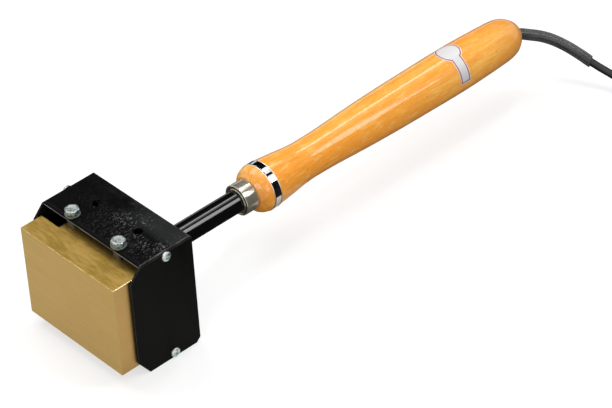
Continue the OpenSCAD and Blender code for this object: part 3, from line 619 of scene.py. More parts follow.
# %% Stamp block
stamp = block("stamp", (-52.5, 0, -40), (52.5, 20, 40))
bpy.ops.object.mode_set(mode="EDIT")
for point, normal in (((-32, 0, 0), (1, 0, 0)), ((50.9, 0, 0), (1, 0, 0)), ((0, 0, 25), (0, 0, 1))):
    bpy.ops.mesh.select_all(action="SELECT")
    bpy.ops.mesh.bisect(plane_co=mm(*point), plane_no=normal)
bpy.ops.mesh.select_mode(type="FACE")
bpy.ops.mesh.select_all(action="DESELECT")
mesh = bmesh.from_edit_mesh(stamp.data)
for face in mesh.faces:
    centre = face.calc_center_median() / MM
    face.select_set(centre.y > 19.9 and -32 < centre.x < 50.9 and centre.z > 25)
bpy.ops.mesh.extrude_region_move(TRANSFORM_OT_translate={"value": mm(0, 22, 0)})
bpy.ops.mesh.select_all(action="SELECT")
bpy.ops.mesh.dissolve_limited(angle_limit=math.radians(1))
bpy.ops.object.mode_set(mode="OBJECT")
for side in (-26, 26):
    cut(stamp, bar("Z", (side, 29, 32), 3.3, 30),
        block("slot_cutter", (side - 3.3, 29, 20), (side + 3.3, 50, 45)))
ease(stamp, 0.4, 2, material=1)
for face in stamp.data.polygons:
    if face.center.z < 39.5 * MM:
        face.material_index = 0
done(stamp, "die", "brass_stamp", [milled_brass(), brass_edge_with_painted_highlight()], "die_block", flat=True)

# %% [markdown]
# ## Black paint, three ways
#
# The hood is stove-enamelled steel. Its top was brushed before painting, and the brushing
# shows as a fine bump; the short light streaks along it are painted highlights, and a painted
# sheen lies towards the back right. The light lines on the rolled lip and on the cut edges are
# partly rubbed bare metal and partly painted highlight. The side plates are flatter and
# duller. The stem is smooth and glossy. Inside, the heat has turned everything to dull soot.

# %% Black paints
def hood_paint():
    made = Finish("stove_enamel", specular_ior_level=0.1)
    streaks = made.noise(2000, 380, 900, 2, 0.6, seed=2)
    where = made.noise(40, 60, 40, 2, seed=9)
    x, y, z = made.axes()
    # The area where the painted highlights and the painted sheen lie.
    patch = where.step(0.34, 0.6) * x.step(-45, 40, 0.05, 1) * y.step(30, 58, 0.3, 1.15)
    # Painted highlights: short light streaks, fainter towards the back.
    painted_glint = streaks.step(0.6, 0.68) * patch * y.step(54, 64, 1, 0.35)
    # Painted sheen: a lighter grey at the back right and over the streaked area.
    plain = x.step(-10, 25) * y.step(48, 60)
    painted_sheen = (patch * y.step(40, 66)).math("MAXIMUM", plain).mix(linear(6, 6, 7), linear(36, 37, 37))
    made.feed(base_color=painted_glint.mix(painted_sheen, linear(156, 157, 156)),
              roughness=0.24 - painted_glint * 0.04 + where * 0.06)
    made.bump(streaks * patch, 0.00002)
    return made.material


def roll_paint():
    made = Finish("rolled_lip", specular_ior_level=0.04, roughness=0.5)
    x, y, z = made.axes()
    worn = made.noise(60, 60, 60, 3, seed=3)
    # The lip's lower edge is a light line, partly rubbed bare metal and partly a painted highlight.
    edge = (1 - y.step(24.3, 24.6)) * (1 - z.math("ABSOLUTE").step(47.9, 48.2))
    made.feed(base_color=edge.mix(linear(8, 8, 8), worn.step(0.3, 0.7).mix(linear(112, 112, 108), linear(152, 152, 148))))
    made.bump(worn, 0.00002)
    return made.material


def side_paint():
    made = Finish("side_paint", specular_ior_level=0.03)
    drift = made.noise(30, 60, 12, 4, seed=4)
    orange_peel = made.noise(900, 900, 900, 2, seed=1)
    made.feed(base_color=drift.step(0.3, 0.7).mix(linear(9, 9, 8), linear(17, 17, 15)),
              roughness=drift.step(0.3, 0.7, 0.42, 0.56))
    made.bump(orange_peel, 0.00004)
    return made.material


def stem_paint():
    made = Finish("stem_paint", specular_ior_level=0.5)
    drift = made.noise(70, 12, 70, 3, seed=4)
    made.feed(base_color=drift.step(0.3, 0.7).mix(linear(8, 8, 8), linear(14, 14, 14)),
              roughness=drift.step(0.3, 0.7, 0.06, 0.1))
    made.bump(drift, 0.00002)
    return made.material


# Cut edges painted a lighter grey: partly rubbed bare steel, partly a painted highlight.
def edge_wear_and_highlight(name, dark, light):
    made = Finish(name, metallic=0.5)
    rub = made.noise(120, 120, 120, 4, seed=5)
    made.feed(base_color=rub.step(0.4, 0.62).mix(linear(*dark), linear(*light)),
              roughness=rub.step(0.3, 0.7, 0.3, 0.45))
    return made.material


def soot():
    made = Finish("heat_blackened_steel", specular_ior_level=0.03)
    burnt = made.noise(60, 60, 60, 4, 0.6, seed=6)
    made.feed(base_color=burnt.step(0.3, 0.7).mix(linear(6, 6, 6), linear(20, 18, 16)),
              roughness=burnt.step(0.3, 0.7, 0.7, 0.9))
    made.bump(burnt, 0.00005)
    return made.material


paints = {"top": hood_paint(), "roll": roll_paint(), "side": side_paint(), "stem": stem_paint(),
          "soot": soot(), "edge": edge_wear_and_highlight("hood_edge_wear_and_highlight", (100, 100, 98), (150, 150, 146)),
          "side_edge": edge_wear_and_highlight("side_edge_wear_and_highlight", (22, 22, 20), (52, 52, 48))}
print("paints:", ", ".join(sorted(paints)))

# %% [markdown]
# ## The hood
#
# One strip of steel is folded into top, back and bottom, and both front edges are rolled in.
# The outline of its outer skin is drawn once, pulled across the width, and given the
# thickness of the sheet inwards. Then the holes are drilled, and four flanges are added that
# the side plates are screwed to.

# %% Hood shell
def arc(cy, cz, radius, start, end, count=8):
    """Points of an arc in the side view, from angle to angle in degrees."""
    spread = [math.radians(start + (end - start) * i / count) for i in range(count + 1)]
    return [(cy + radius * math.cos(a), cz + radius * math.sin(a)) for a in spread]


upper = arc(26.6, 47.4, 2.6, 180, 90) + arc(70.7, 47.5, 2.5, 90, 0)
skin = upper + [(y, -z) for y, z in reversed(upper)]
hood = outline("hood", [(-53.3, y, z) for y, z in skin])
bpy.ops.mesh.extrude_region_move(TRANSFORM_OT_translate={"value": mm(106.6, 0, 0)})
bpy.ops.mesh.select_all(action="SELECT")
bpy.ops.mesh.normals_make_consistent(inside=False)
bpy.ops.object.mode_set(mode="OBJECT")
outward = max(hood.data.polygons, key=lambda f: f.center.z).normal.z
hood.data.materials.append(paints["top"])
hood.data.materials.append(paints["edge"])
apply(hood, "SOLIDIFY", thickness=2 * MM, offset=-1 if outward > 0 else 1, material_offset_rim=1)
bpy.ops.object.mode_set(mode="EDIT")
tidy_mesh()
bpy.ops.object.mode_set(mode="OBJECT")
for side in (-1, 1):
    cut(hood, bar("Z", (side * 26, 29, 49), 3.3, 8), bar("Z", (side * 23.3, 49.7, 49), 3.75, 8))
    for level in (-16, 16):
        cut(hood, bar("Y", (side * 16, 72, level), 2.75, 8))
cut(hood, bar("Y", (0, 72, 0), 6.6, 8))
ease(hood, 0.2, 2)
for side in (-1, 1):
    for level in (-1, 1):
        low = (side * 52.3 - 1, 29.2, level * 42 - 6)
        flange = block("flange", low, (low[0] + 2, 71.2, low[2] + 12))
        cut(flange, bar("X", (side * 52.3, 48, level * 45.5), 2.1, 8))
        ease(flange, 0.2)
        join(hood, flange)
while len(hood.data.materials) < 4:
    hood.data.materials.append(None)
for face in hood.data.polygons:
    centre = face.center / MM
    if abs(centre.x) < 52.5 and abs(centre.z) < 47.6 and centre.y < 71.5:
        face.material_index = 2
    elif centre.y < 26.6 and face.material_index == 0:
        face.material_index = 3
done(hood, "tool", "hood_paint", [paints[k] for k in ("top", "edge", "soot", "roll")], "hood_shell", flat=True)

# %% [markdown]
# ## The side plates
#
# Each is cut from flat sheet with its corners taken off, so that nothing sharp stands out
# past the brass. A plate is its outline filled and given its thickness.

# %% Side plates
cheek = [(14, 38.5), (23.5, 48.5), (73.2, 48.5), (73.2, -46.3), (69.5, -50), (24, -50), (14, -36)]
for name, inner in (("right", 53.5), ("left", -55.0)):
    side = plate("cheek_" + name, [(inner, y, z) for y, z in cheek], (1.5, 0, 0))
    for level in (-45.5, 45.5):
        cut(side, bar("X", (inner, 48, level), 2.1, 8))
    ease(side, 0.25, 2, material=1)
    done(side, "tool", "side_paint", [paints["side"], paints["side_edge"]], "side_plate_" + name, flat=True)

# %% [markdown]
# ## Zinc on the screws
#
# The screws are zinc plated: a bluish white metal with cloudy patches and slightly rough
# flats. The washers and the pan heads get the same finish, painted darker for the washers
# and lighter for the pan heads, as painted shade and light. Steel that has been near the heat
# is dark and mottled.

# %% Zinc
def plated(name, dark, light, rough, bump=0.00003, wash=500):
    made = Finish(name, metallic=1.0)
    cloud = made.noise(wash, wash, wash, 4, 0.65, seed=3)
    fine = made.noise(wash * 5, wash * 5, wash * 5, 3, seed=5)
    made.feed(base_color=(cloud * 0.6 + fine * 0.4).step(0.38, 0.6).mix(linear(*dark), linear(*light)),
              roughness=cloud.step(0.3, 0.7, rough * 0.75, rough * 1.3))
    made.bump(cloud * 0.5 + fine * 0.5, bump)
    return made.material


def cast(name, light, dark, rough, metal=1.0, size=140, bump=0.00008):
    made = Finish(name, metallic=metal)
    grain = made.noise(size * 5, size * 5, size * 5, 3, 0.6, seed=2)
    cloud = made.noise(size, size, size, 4, 0.6, seed=7)
    made.feed(base_color=(cloud * 0.6 + grain * 0.4).step(0.36, 0.64).mix(linear(*dark), linear(*light)),
              roughness=cloud.step(0.3, 0.7, rough * 0.8, min(1.0, rough * 1.2)))
    made.bump(grain, bump)
    return made.material


zinc = plated("zinc_plate", (100, 108, 108), (180, 187, 185), 0.46, 0.00008, 650)
# Copies of the zinc painted darker and lighter: painted shade for the washers, painted light for the pan heads.
zinc_painted_darker = plated("zinc_painted_darker", (66, 76, 74), (118, 130, 127), 0.5, 0.00008, 650)
zinc_painted_lighter = plated("zinc_painted_lighter", (120, 131, 130), (214, 224, 220), 0.38, 0.00008, 650)

# %% [markdown]
# ## Side screws
#
# Four pan-head screws hold the plates. The head is turned, and a cross is cut into it with
# two small blocks. The first is finished completely, and the others are copies of it.

# %% Pan-head screws
pan = turned("pan_master", [
    (0, -8), (1.5, -8), (2, -7.4), (2, 0), (4, 0), (4, 0.9), (3.86, 1.35), (3.5, 1.85), (2.9, 2.25),
    (2.0, 2.5), (1.0, 2.58), (0, 2.6)], 48)
for low, high in (((-2.2, 1.3, -0.45), (2.2, 4, 0.45)), ((-0.45, 1.3, -2.2), (0.45, 4, 2.2)),
                  ((-0.9, 1.7, -0.9), (0.9, 4, 0.9))):
    cut(pan, block("cross_cutter", low, high))
ease(pan, 0.12, 2, angle=50)
shank_steel = cast("shank_steel", (60, 60, 62), (24, 24, 26), 0.4)
for finish in (zinc_painted_lighter, shank_steel):
    pan.data.materials.append(finish)
for face in pan.data.polygons:
    face.material_index = int(face.center.y < -0.05 * MM)
places = [(55, 48, 45.5, -90, 20), (55, 48, -45.5, -90, 52), (-55, 48, 45.5, 90, 8), (-55, 48, -45.5, 90, 70)]
screws = [copy(pan, f"side_screw_{i + 1}") for i in range(4)]
bpy.data.objects.remove(pan)
for screw, (x, y, z, lie, spin) in zip(screws, places):
    place(screw, (0, 0, 0), (0, spin, 0))
    place(screw, (x, y, z), (0, 0, lie))
    done(screw, "tool", "zinc", [zinc_painted_lighter, shank_steel], "side_screws")

# %% [markdown]
# ## Clamp screws and washers
#
# Two hexagon-head screws pull the hood and the tongue together. A hexagon bar is crossed with
# a turned blank, whose coned top gives the curved chamfers at the corners. The shank has its
# thread as plain rings a millimetre apart, which is how it looks from the side.

# %% Hexagon screws
def hex_head(name, across, height, shank, length, sink=0.15):
    """A hexagon head standing on y = 0 with a threaded shank below it, along +Y."""
    piece = bar("Y", (0, height / 2, 0), across / math.sqrt(3), height, 6)
    piece.name = piece.data.name = name
    cone = turned("blank", [(0, -1), (across * 0.7, -1), (across * 0.7, height - 1.2),
                            (across * 0.46, height), (across * 0.33, height),
                            (across * 0.3, height - sink), (0, height - sink)])
    cut(piece, cone, operation="INTERSECT")
    ease(piece, 0.12, 2, angle=25)
    thread = [(0, -length), (shank * 0.4, -length)]
    for ring in range(int(length) - 6):
        y = -length + 0.8 + ring
        thread += [(shank * 0.43, y), (shank * 0.5, y + 0.5)]
    shaft = turned("shaft", thread + [(shank * 0.5, -4), (shank * 0.5, 0.4), (0, 0.4)], 32)
    join(piece, shaft)
    return piece


clamp = hex_head("clamp_master", 10, 4, 6, 40)
for name, x, twist in (("left", -26, 8), ("right", 26, 23)):
    screw = copy(clamp, "hex_screw_" + name)
    place(screw, (0, 0, 0), (0, twist, 0))
    place(screw, (x, 29, 51.8), (90, 0, 0))
    done(screw, "screw_" + name, "zinc", zinc, "clamp_screw_" + name)
bpy.data.objects.remove(clamp)

washer = turned("washer_master", [(3.1, 0.1), (3.2, 0), (5.7, 0), (6, 0.3), (6, 1.3), (5.7, 1.6),
                                  (3.2, 1.6), (3.1, 1.5), (3.1, 0.1)])
for name, x in (("left", -26), ("right", 26)):
    ring = copy(washer, "flat_washer_" + name, (x, 29, 50.1), (90, 0, 0))
    done(ring, "washer_" + name, "zinc", zinc_painted_darker, "clamp_washer_" + name)
bpy.data.objects.remove(washer)

# %% [markdown]
# ## Stem, flange and rear bolts
#
# The stem is a steel tube welded to a round flange, which four bolts hold to the back of the
# hood. The bolts reuse the hexagon head of the clamp screws in a smaller size, each over a
# spring washer that is a ring with a slanted slit.

# %% Stem and its flange
stem = turned("stem", [(7.5, 73.5), (7.8, 73.2), (8.7, 73.2), (9, 73.5), (9, 248.2), (8.7, 248.5),
                       (7.8, 248.5), (7.5, 248.2), (7.5, 73.5)], 96)
for side in (-1, 1):
    cut(stem, bar("X", (side * 8.2, 188, 0), 2.05, 4))
done(stem, "tool", "stem_paint", paints["stem"], "stem_tube")

flange = turned("round_flange", [(9.05, 73.2), (30, 73.2), (30, 78.2), (12.2, 78.2), (10.6, 78.9),
                                 (9.6, 80.1), (9.05, 81), (9.05, 73.2)], 96)
for side in (-16, 16):
    for level in (-16, 16):
        cut(flange, bar("Y", (side, 75, level), 2.75, 16))
ease(flange, 0.4, 2, angle=50)
done(flange, "tool", "stem_paint", paints["stem"], "stem_flange")

bolt = hex_head("bolt_master", 8, 3.5, 5, 30)
spring = turned("spring_master", [(2.65, 0.1), (2.8, 0), (4.3, 0), (4.5, 0.15), (4.5, 1.05),
                                  (4.3, 1.2), (2.8, 1.2), (2.65, 1.1), (2.65, 0.1)])
slit = block("slit", (1, -2, -0.25), (6, 3, 0.25))
place(slit, (0, 0, 0), (35, 0, 0))
cut(spring, slit)
number = 0
for side in (-16, 16):
    for level in (-16, 16):
        number += 1
        back = copy(bolt, f"rear_bolt_{number}")
        place(back, (0, 0, 0), (0, 17 * number, 0))
        place(back, (side, 79.4, level))
        done(back, "tool", "zinc", zinc, "rear_bolts")
        ring = copy(spring, f"spring_washer_{number}")
        place(ring, (0, 0, 0), (0, 80 * number, 0))
        place(ring, (side, 78.2, level))
        done(ring, "tool", "dark_steel", zinc, "rear_spring_washers")
bpy.data.objects.remove(bolt)
bpy.data.objects.remove(spring)

# %% [markdown]
# ## Nickel and chrome
#
# The ferrule is nickel plated, which is warmer than chrome, and the thin band in the handle
# is chromed. Both are nearly mirrors, so a faint waviness in the bump matters more than their
# colour. The band has a groove near each edge, painted dark red-brown as painted shade, and
# its rims and its side towards +X are painted lighter as painted highlights. The groove in
# the front of the ferrule is painted dark as painted shade.

# %% Ferrule and band


def nickel_plate():
    made = Finish("bright_nickel", metallic=0.7)
    cloud = made.noise(24, 24, 24, 4, 0.65, seed=3)
    x, y, z = made.axes()
    out = (x * x + z * z).math("SQRT")
    # Painted shade: the groove in the front of the ferrule is dark brown.
    groove = out.step(10.1, 10.3) * (1 - out.step(11.0, 11.2)) * (1 - y.step(164.3, 164.5))
    metal = cloud.step(0.38, 0.6).mix(linear(180, 173, 154), linear(200, 193, 174))
    made.feed(base_color=groove.mix(metal, linear(34, 28, 10)),
              roughness=cloud.step(0.3, 0.7, 0.11, 0.19) + groove * 0.3)
    made.bump(cloud, 0.000002)
    return made.material


def chrome_band():
    made = Finish("chrome_band", metallic=1.0)
    wave = made.noise(60, 60, 60, 3, seed=2)
    x, y, z = made.axes()
    off = (y - 188).math("ABSOLUTE")
    # Painted shade in the grooves near each edge, dark red-brown.
    line = off.step(2.6, 2.66) * (1 - off.step(3.08, 3.14))
    rim = off.step(3.08, 3.14)
    metal = wave.step(0.3, 0.7).mix(linear(198, 208, 214), linear(222, 228, 233))
    # Painted highlights: lighter on the side towards +X and on the rims.
    metal = x.step(0, 6).mix(metal, linear(240, 243, 246))
    metal = rim.mix(metal, linear(250, 246, 244))
    made.feed(base_color=line.mix(metal, linear(70, 36, 38)), roughness=line * 0.3 + rim * 0.33 + 0.06)
    made.bump(wave * 0.4 - line * 0.6, 0.00004)
    return made.material


ferrule = turned("nickel_ferrule", [
    (9.1, 162.3), (9.9, 162.2), (10.2, 162.6), (10.25, 164.2), (11.1, 164.2), (11.2, 162.9),
    (11.5, 162.6), (12.0, 162.5), (12.5, 162.65), (12.8, 163.0), (12.85, 163.5), (12.85, 173.9),
    (12.75, 174.4), (12.5, 174.5), (12.1, 174.5), (12.1, 164.5), (9.1, 164.5), (9.1, 162.3)], 128)
done(ferrule, "tool", "nickel", nickel_plate(), "ferrule")

half = [(18.8, 3.75), (19.66, 3.75), (19.82, 3.7), (19.92, 3.58), (19.95, 3.43), (19.92, 3.28), (19.82, 3.16),
        (19.62, 3.11), (19.62, 2.66), (19.88, 2.62)]
band = turned("bright_band", [(r, 188 - y) for r, y in half] + [(r, 188 + y) for r, y in reversed(half)]
              + [(18.8, 184.25)], 128)
done(band, "tool", "chrome_band", chrome_band(), "handle_band")

# %% [markdown]
# ## Lacquered beech
#
# Beech is a pale honey wood with short dark flecks along the grain and soft changes of tone
# over a hand's width. A glossy lacquer lies on it, which is a clear coat on the shader: the
# wood below stays soft, and the coat carries the sharp highlights.

# %% Beech
def lacquered_beech():
    made = Finish("lacquered_beech", coat_weight=1.0, coat_roughness=0.06, coat_ior=1.4,
                  specular_ior_level=0.2)
    broad = made.noise(30, 5, 30, 3, 0.5, seed=1)
    veins = made.noise(210, 8, 210, 4, 0.6, seed=2)
    rays = made.noise(430, 80, 430, 3, 0.6, seed=7)
    fibre = made.noise(1300, 70, 1300, 3, 0.6, seed=3)
    fleck = made.noise(900, 300, 900, 2, 0.5, seed=4)
    knots = made.noise(100, 13, 100, 5, 0.65, seed=11)
    base = broad.step(0.34, 0.66).mix(linear(251, 163, 53), linear(255, 194, 93))
    base = (veins.step(0.45, 0.7) * 0.4).mix(base, linear(236, 145, 44))
    base = (rays.step(0.52, 0.7) * 0.45).mix(base, linear(255, 216, 132))
    base = ((1 - rays).step(0.52, 0.7) * 0.4).mix(base, linear(230, 142, 46))
    base = (fibre.step(0.42, 0.66) * 0.2).mix(base, linear(216, 130, 44))
    base = (knots.step(0.62, 0.76) * 0.4).mix(base, linear(192, 108, 34))
    base = (fleck.step(0.64, 0.72) * 0.5).mix(base, linear(176, 104, 40))
    # Painted shade: the wood is darker towards the end of the handle.
    base = (made.axes()[1].step(415, 462) * 0.6).mix(base, linear(222, 146, 64))
    made.feed(base_color=base, roughness=fibre.step(0.3, 0.7, 0.38, 0.5))
    made.bump(fibre * 0.5 + broad * 0.5, 0.00002)
    return made.material


# %% [markdown]
# ## The handle
#
# It was turned on a lathe, so it is turned here too: the radii were measured along the
# picture's outline and are joined by a smooth curve. The mouth at the back flares, the front
# keeps a short tenon inside the ferrule, and a shallow groove holds the band.

# %% Turned handle
grip_radii = [
    (174.5, 14.05), (176, 15.6), (178, 17.5), (180.5, 18.8), (183.5, 19.6), (184.2, 19.66), (191.8, 19.62),
    (194, 19.45), (201, 18.75), (211, 17.7), (220, 16.6), (230, 15.85),
    (240, 15.8), (250, 16.0), (260, 16.35), (270, 16.85), (280, 17.35), (290, 17.8), (300, 18.2),
    (320, 18.8), (340, 19.15), (360, 19.45), (380, 19.7), (390, 19.75), (400, 19.7), (420, 19.2),
    (440, 18.4), (447, 18.0), (452, 17.3), (457, 15.9), (461, 13.6), (464, 11.3), (465.5, 9.9)]


def smooth_through(points, parts=3):
    """More points on a soft curve that passes through the given ones."""
    made = []
    for i in range(len(points) - 1):
        before, here, there, after = (points[max(0, min(len(points) - 1, i + k))] for k in (-1, 0, 1, 2))
        for part in range(parts):
            t = part / parts
            made.append(tuple(0.5 * (2 * b + (c - a) * t + (2 * a - 5 * b + 4 * c - d) * t * t
                                     + (3 * b - a - 3 * c + d) * t ** 3)
                              for a, b, c, d in zip(before, here, there, after)))
    return made + [points[-1]]


front_bulge = [(r, y) for y, r in smooth_through(grip_radii[:6])]
long_palm = [(r, y) for y, r in smooth_through(grip_radii[6:])]
grip = turned("turned_handle", [(9.1, 164.55), (12.05, 164.55), (12.05, 174.5)] + front_bulge
              + [(18.78, 184.22), (18.78, 191.78)] + long_palm
              + [(9.2, 466), (8.9, 465.7), (7.6, 460), (5, 448), (5, 400), (9.1, 400), (9.1, 164.55)], 128)
for side in (-1, 1):
    cut(grip, bar("X", (side * 14, 188, 0), 2.05, 11))
done(grip, "tool", "beech", lacquered_beech(), "wood_handle", smooth=40)

# %% [markdown]
# ## The sticker
#
# A round label with a strip that wraps down the side is stuck on the palm. It is blank, with
# a dark red line inside a white border. A sheet is bent round by spinning one straight edge,
# given its thickness, and stamped out with a round cutter and a straight one. The line is
# painted from the distance to that same outline.

# %% Blank sticker
def sticker_paper():
    made = Finish("sticker_paper", specular_ior_level=0.5)
    x, y, z = made.axes()
    along = y - 390.5
    round_edge = (x * x + along * along).math("POWER", 0.5) - 11
    around = x.math("ARCTAN2", z) * 19.95
    strip_edge = (along.math("ABSOLUTE") - 5.4).math("MAXIMUM", around - 32.0).math("MAXIMUM", 6 - around)
    upper = z.step(-6, -4)
    edge = round_edge.math("MINIMUM", strip_edge)
    line = edge.step(-1.75, -1.6) * (1 - edge.step(-0.85, -0.7)) * upper
    soil = made.noise(120, 120, 120, 4, seed=3)
    # Painted shade: the strip is greyer where it wraps down the side of the handle.
    lower = around.step(16, 32)
    white = (soil.step(0.3, 0.7) * 0.5).mix(linear(218, 217, 217), linear(210, 208, 210))
    white = (lower * 0.4).mix(white, linear(176, 178, 182))
    made.feed(base_color=line.mix(white, linear(158, 14, 52)), roughness=soil.step(0.3, 0.7, 0.3, 0.4))
    made.bump(soil, 0.00001)
    return made.material


lower_end = math.radians(93)
sheet = outline("blank_sticker", [(19.84 * math.sin(lower_end), y, 19.84 * math.cos(lower_end))
                                  for y in range(379, 403)])
bpy.ops.mesh.spin(steps=84, angle=lower_end + 0.65, center=(0, 0, 0), axis=(0, 1, 0))
tidy_mesh()
bpy.ops.object.mode_set(mode="OBJECT")
apply(sheet, "SOLIDIFY", thickness=0.14 * MM, offset=1)
spread = [math.hypot(v.co.x, v.co.z) / MM for v in sheet.data.vertices]
if min(spread) < 19.8:
    print("sticker was given its thickness inwards:", round(min(spread), 3))
cutter = bar("Z", (0, 390.5, 15), 11, 30, 96)
cut(cutter, block("strip", (0, 385.1, -8), (25, 395.9, 25)), operation="UNION")
cut(sheet, cutter, operation="INTERSECT")
done(sheet, "tool", "sticker", sticker_paper(), "handle_label")

# %% [markdown]
# ## Clear sleeve
#
# A soft clear tube protects the lead where it bends out of the handle. A curve gives its
# outer wall, which becomes a mesh, gets its wall thickness inwards, and is trimmed a little
# askew at the open end, as a cutter held in the hand leaves it.

# %% Sleeve over the lead
clear_pvc = Finish("clear_pvc", specular_ior_level=0.6)
haze = clear_pvc.noise(90, 90, 90, 3, seed=2)
rim = clear_pvc.start.node("ShaderNodeLayerWeight", None, {"Blend": 0.5}, out=1)
clear_pvc.feed(base_color=haze.step(0.3, 0.7).mix(linear(62, 62, 65), linear(82, 82, 85)),
               roughness=haze.step(0.3, 0.7, 0.24, 0.3), alpha=rim.step(0.08, 0.34, 0.5, 0.9))
clear_pvc.bump(haze, 0.000003)

sleeve_run = [mm(0, 401, 0), mm(0, 428, 0)] + [mm(*p) for p in free_run[:9]]
sleeve = follow("clear_tube", sleeve_run, 4.75, 10)
sleeve.data.use_fill_caps = False
alone(sleeve)
bpy.ops.object.convert(target="MESH")
sleeve = bpy.context.object
bpy.ops.object.mode_set(mode="EDIT")
end, way = mm(48, 508, -29), (mm(48, 508, -29) - mm(35, 502, -21)).normalized()
askew = (way + Vector((0.12, 0.1, 0.3))).normalized()
bpy.ops.mesh.select_all(action="SELECT")
bpy.ops.mesh.bisect(plane_co=end - way * 0.0014, plane_no=askew, clear_outer=True)
bpy.ops.mesh.select_all(action="SELECT")
bpy.ops.mesh.normals_make_consistent(inside=False)
bpy.ops.object.mode_set(mode="OBJECT")
apply(sleeve, "SOLIDIFY", thickness=1.1 * MM, offset=-1)
done(sleeve, "tool", "clear_pvc", clear_pvc.material, "clear_sleeve", smooth=50)

# %% [markdown]
# ## The tie round the coil
#
# A woven hook-and-loop strap holds the coil. It is an outline round the bundle of cable,
# pulled to the width of the strap and given its thickness.

# %% Strap
def strap_weave():
    made = Finish("strap_weave", roughness=0.85, specular_ior_level=0.2)
    x, y, z = made.axes()
    ribs = (x * 5.2).math("SINE") * 0.5 + 0.5
    cross = ((y + z) * 7.0).math("SINE") * 0.5 + 0.5
    made.feed(base_color=(ribs * cross).mix(linear(14, 14, 15), linear(44, 44, 47)),
              roughness=ribs * 0.1 + 0.78)
    made.bump(ribs * cross, 0.0002)
    return made.material


low_y, high_y, low_z, high_z, bend = 558.5, 577.5, -49.9, -21.1, 2.5
corners = []
for cy, cz, start in ((high_y - bend, high_z - bend, 90), (low_y + bend, high_z - bend, 180),
                      (low_y + bend, low_z + bend, 270), (high_y - bend, low_z + bend, 360)):
    corners += arc(cy, cz, bend, start - 90, start, 5)
strap = outline("tie_strap", [(78, y, z) for y, z in corners], closed=True)
bpy.ops.mesh.extrude_region_move(TRANSFORM_OT_translate={"value": mm(12, 0, 0)})
tidy_mesh()
bpy.ops.object.mode_set(mode="OBJECT")
apply(strap, "SOLIDIFY", thickness=0.55 * MM, offset=-1)
ease(strap, 0.15, 2)
done(strap, "tool", "tie_black", strap_weave(), "cord_tie")

# %% [markdown]
# ## The plug
#
# A round earthed plug ends the lead. Relief, body and pins are turned about the tool's long
# axis first and then laid down pointing the other way. The relief's grooves are bridged in
# turns, so that it bends evenly, and the body has recesses for the two earth clips.

# %% Plug and its relief
plug_rubber = rubber("plug_rubber", (30, 30, 31), 0.42)
plug_metal = plated("plug_metal", (178, 174, 160), (222, 218, 204), 0.22, 0.00002, 160)
plug_at = (33, 652, -31.5)


def lay(piece):
    """Turns a piece that points along +Y to point along -X from the lead's end."""
    place(piece, (0, 0, 0), (0, 0, 90))
    place(piece, plug_at)


ribs = [(0, 0)]
for rib in range(5):
    y, r = rib * 5.2, 4.6 + 0.5 * rib
    ribs += [(r - 0.25, y), (r, y + 0.3), (r, y + 2.8), (r - 0.25, y + 3.12), (r - 0.9, y + 3.3), (r - 0.9, y + 5.1)]
relief = turned("plug_relief", ribs + [(0, 26)], 64)
for rib in range(5):
    y, r = rib * 5.2, 4.6 + 0.5 * rib
    for side in (-1, 1):
        low = Vector((-1.4, y + 2.9, r - 1.6)) if rib % 2 else Vector((r - 1.6, y + 2.9, -1.4))
        size = Vector((2.8, 2.5, 1.5)) if rib % 2 else Vector((1.5, 2.5, 2.8))
        bridge = block("bridge", low, low + size)
        place(bridge, (0, 0, 0), (0, 0 if side > 0 else 180, 0))
        join(relief, bridge)
lay(relief)
done(relief, "tool", "plug_rubber", plug_rubber, "plug_strain_relief")

body = turned("plug_shell", [
    (0, 26), (7.6, 26), (8.2, 26.3), (9.5, 28.2), (10.2, 33), (10.6, 38), (11.3, 42), (12.8, 45.4),
    (15, 48), (17.2, 49.8), (18.3, 51.2), (18.5, 52.4), (18.5, 70.8), (18.2, 71.6), (17.4, 72), (0, 72)], 96)
for side in (-1, 1):
    cut(body, block("clip_recess", (-3.2, 54, 15.7 if side > 0 else -19.5), (3.2, 76, 19.5 if side > 0 else -15.7)),
        bar("Y", (side * 9.5, 68.5, 0), 2.9, 9))
cut(body, bar("Y", (0, 64, 10), 2.5, 18))
for groove in range(3):
    for side in (-1, 1):
        cut(body, block("finger_groove", (-6, 31.5 + groove * 3.6, side * 11 - 1.2),
                        (6, 33 + groove * 3.6, side * 11 + 1.2)))
ease(body, 0.25, 2, angle=45)
lay(body)
done(body, "tool", "plug_rubber", plug_rubber, "plug_body")

pin = turned("pin_master", [(0, 64.05), (2.9, 64.05), (2.9, 71.8), (2.8, 72), (2.4, 72.1), (2.4, 89.4),
                            (2.2, 90.2), (1.7, 90.8), (1.0, 91), (0, 91)], 48)
pins = [copy(pin, name, (side * 9.5, 0, 0)) for name, side in (("plug_pin_a", -1), ("plug_pin_b", 1))]
bpy.data.objects.remove(pin)
for one in pins:
    lay(one)
    done(one, "tool", "plug_metal", plug_metal, "plug_pins")

# %% [markdown]
# ## Wires inside
#
# The wires in the head and in the handle can be seen only when the tool is open. They are
# round bars along straight runs, since they lie in narrow channels that a loose curve would
# leave. The heater leads have a white glass braid, and the others coloured plastic.

# %% Inner wires
def braid(name, light, dark):
    made = Finish(name, roughness=0.7)
    x, y, z = made.axes()
    weave = ((y * 4 + x * 6).math("SINE") * (y * 4 - z * 6).math("SINE")) * 0.5 + 0.5
    made.feed(base_color=weave.mix(linear(*dark), linear(*light)), roughness=weave * 0.15 + 0.62)
    made.bump(weave, 0.0001)
    return made.material


def plastic(name, colour, roughness=0.4):
    made = Finish(name)
    tone = made.noise(220, 220, 220, 3, seed=2)
    base = linear(*colour)
    made.feed(base_color=tone.step(0.3, 0.7).mix(tuple(c * 0.82 for c in base), base),
              roughness=tone.step(0.3, 0.7, roughness, roughness + 0.12))
    made.bump(tone, 0.00003)
    return made.material


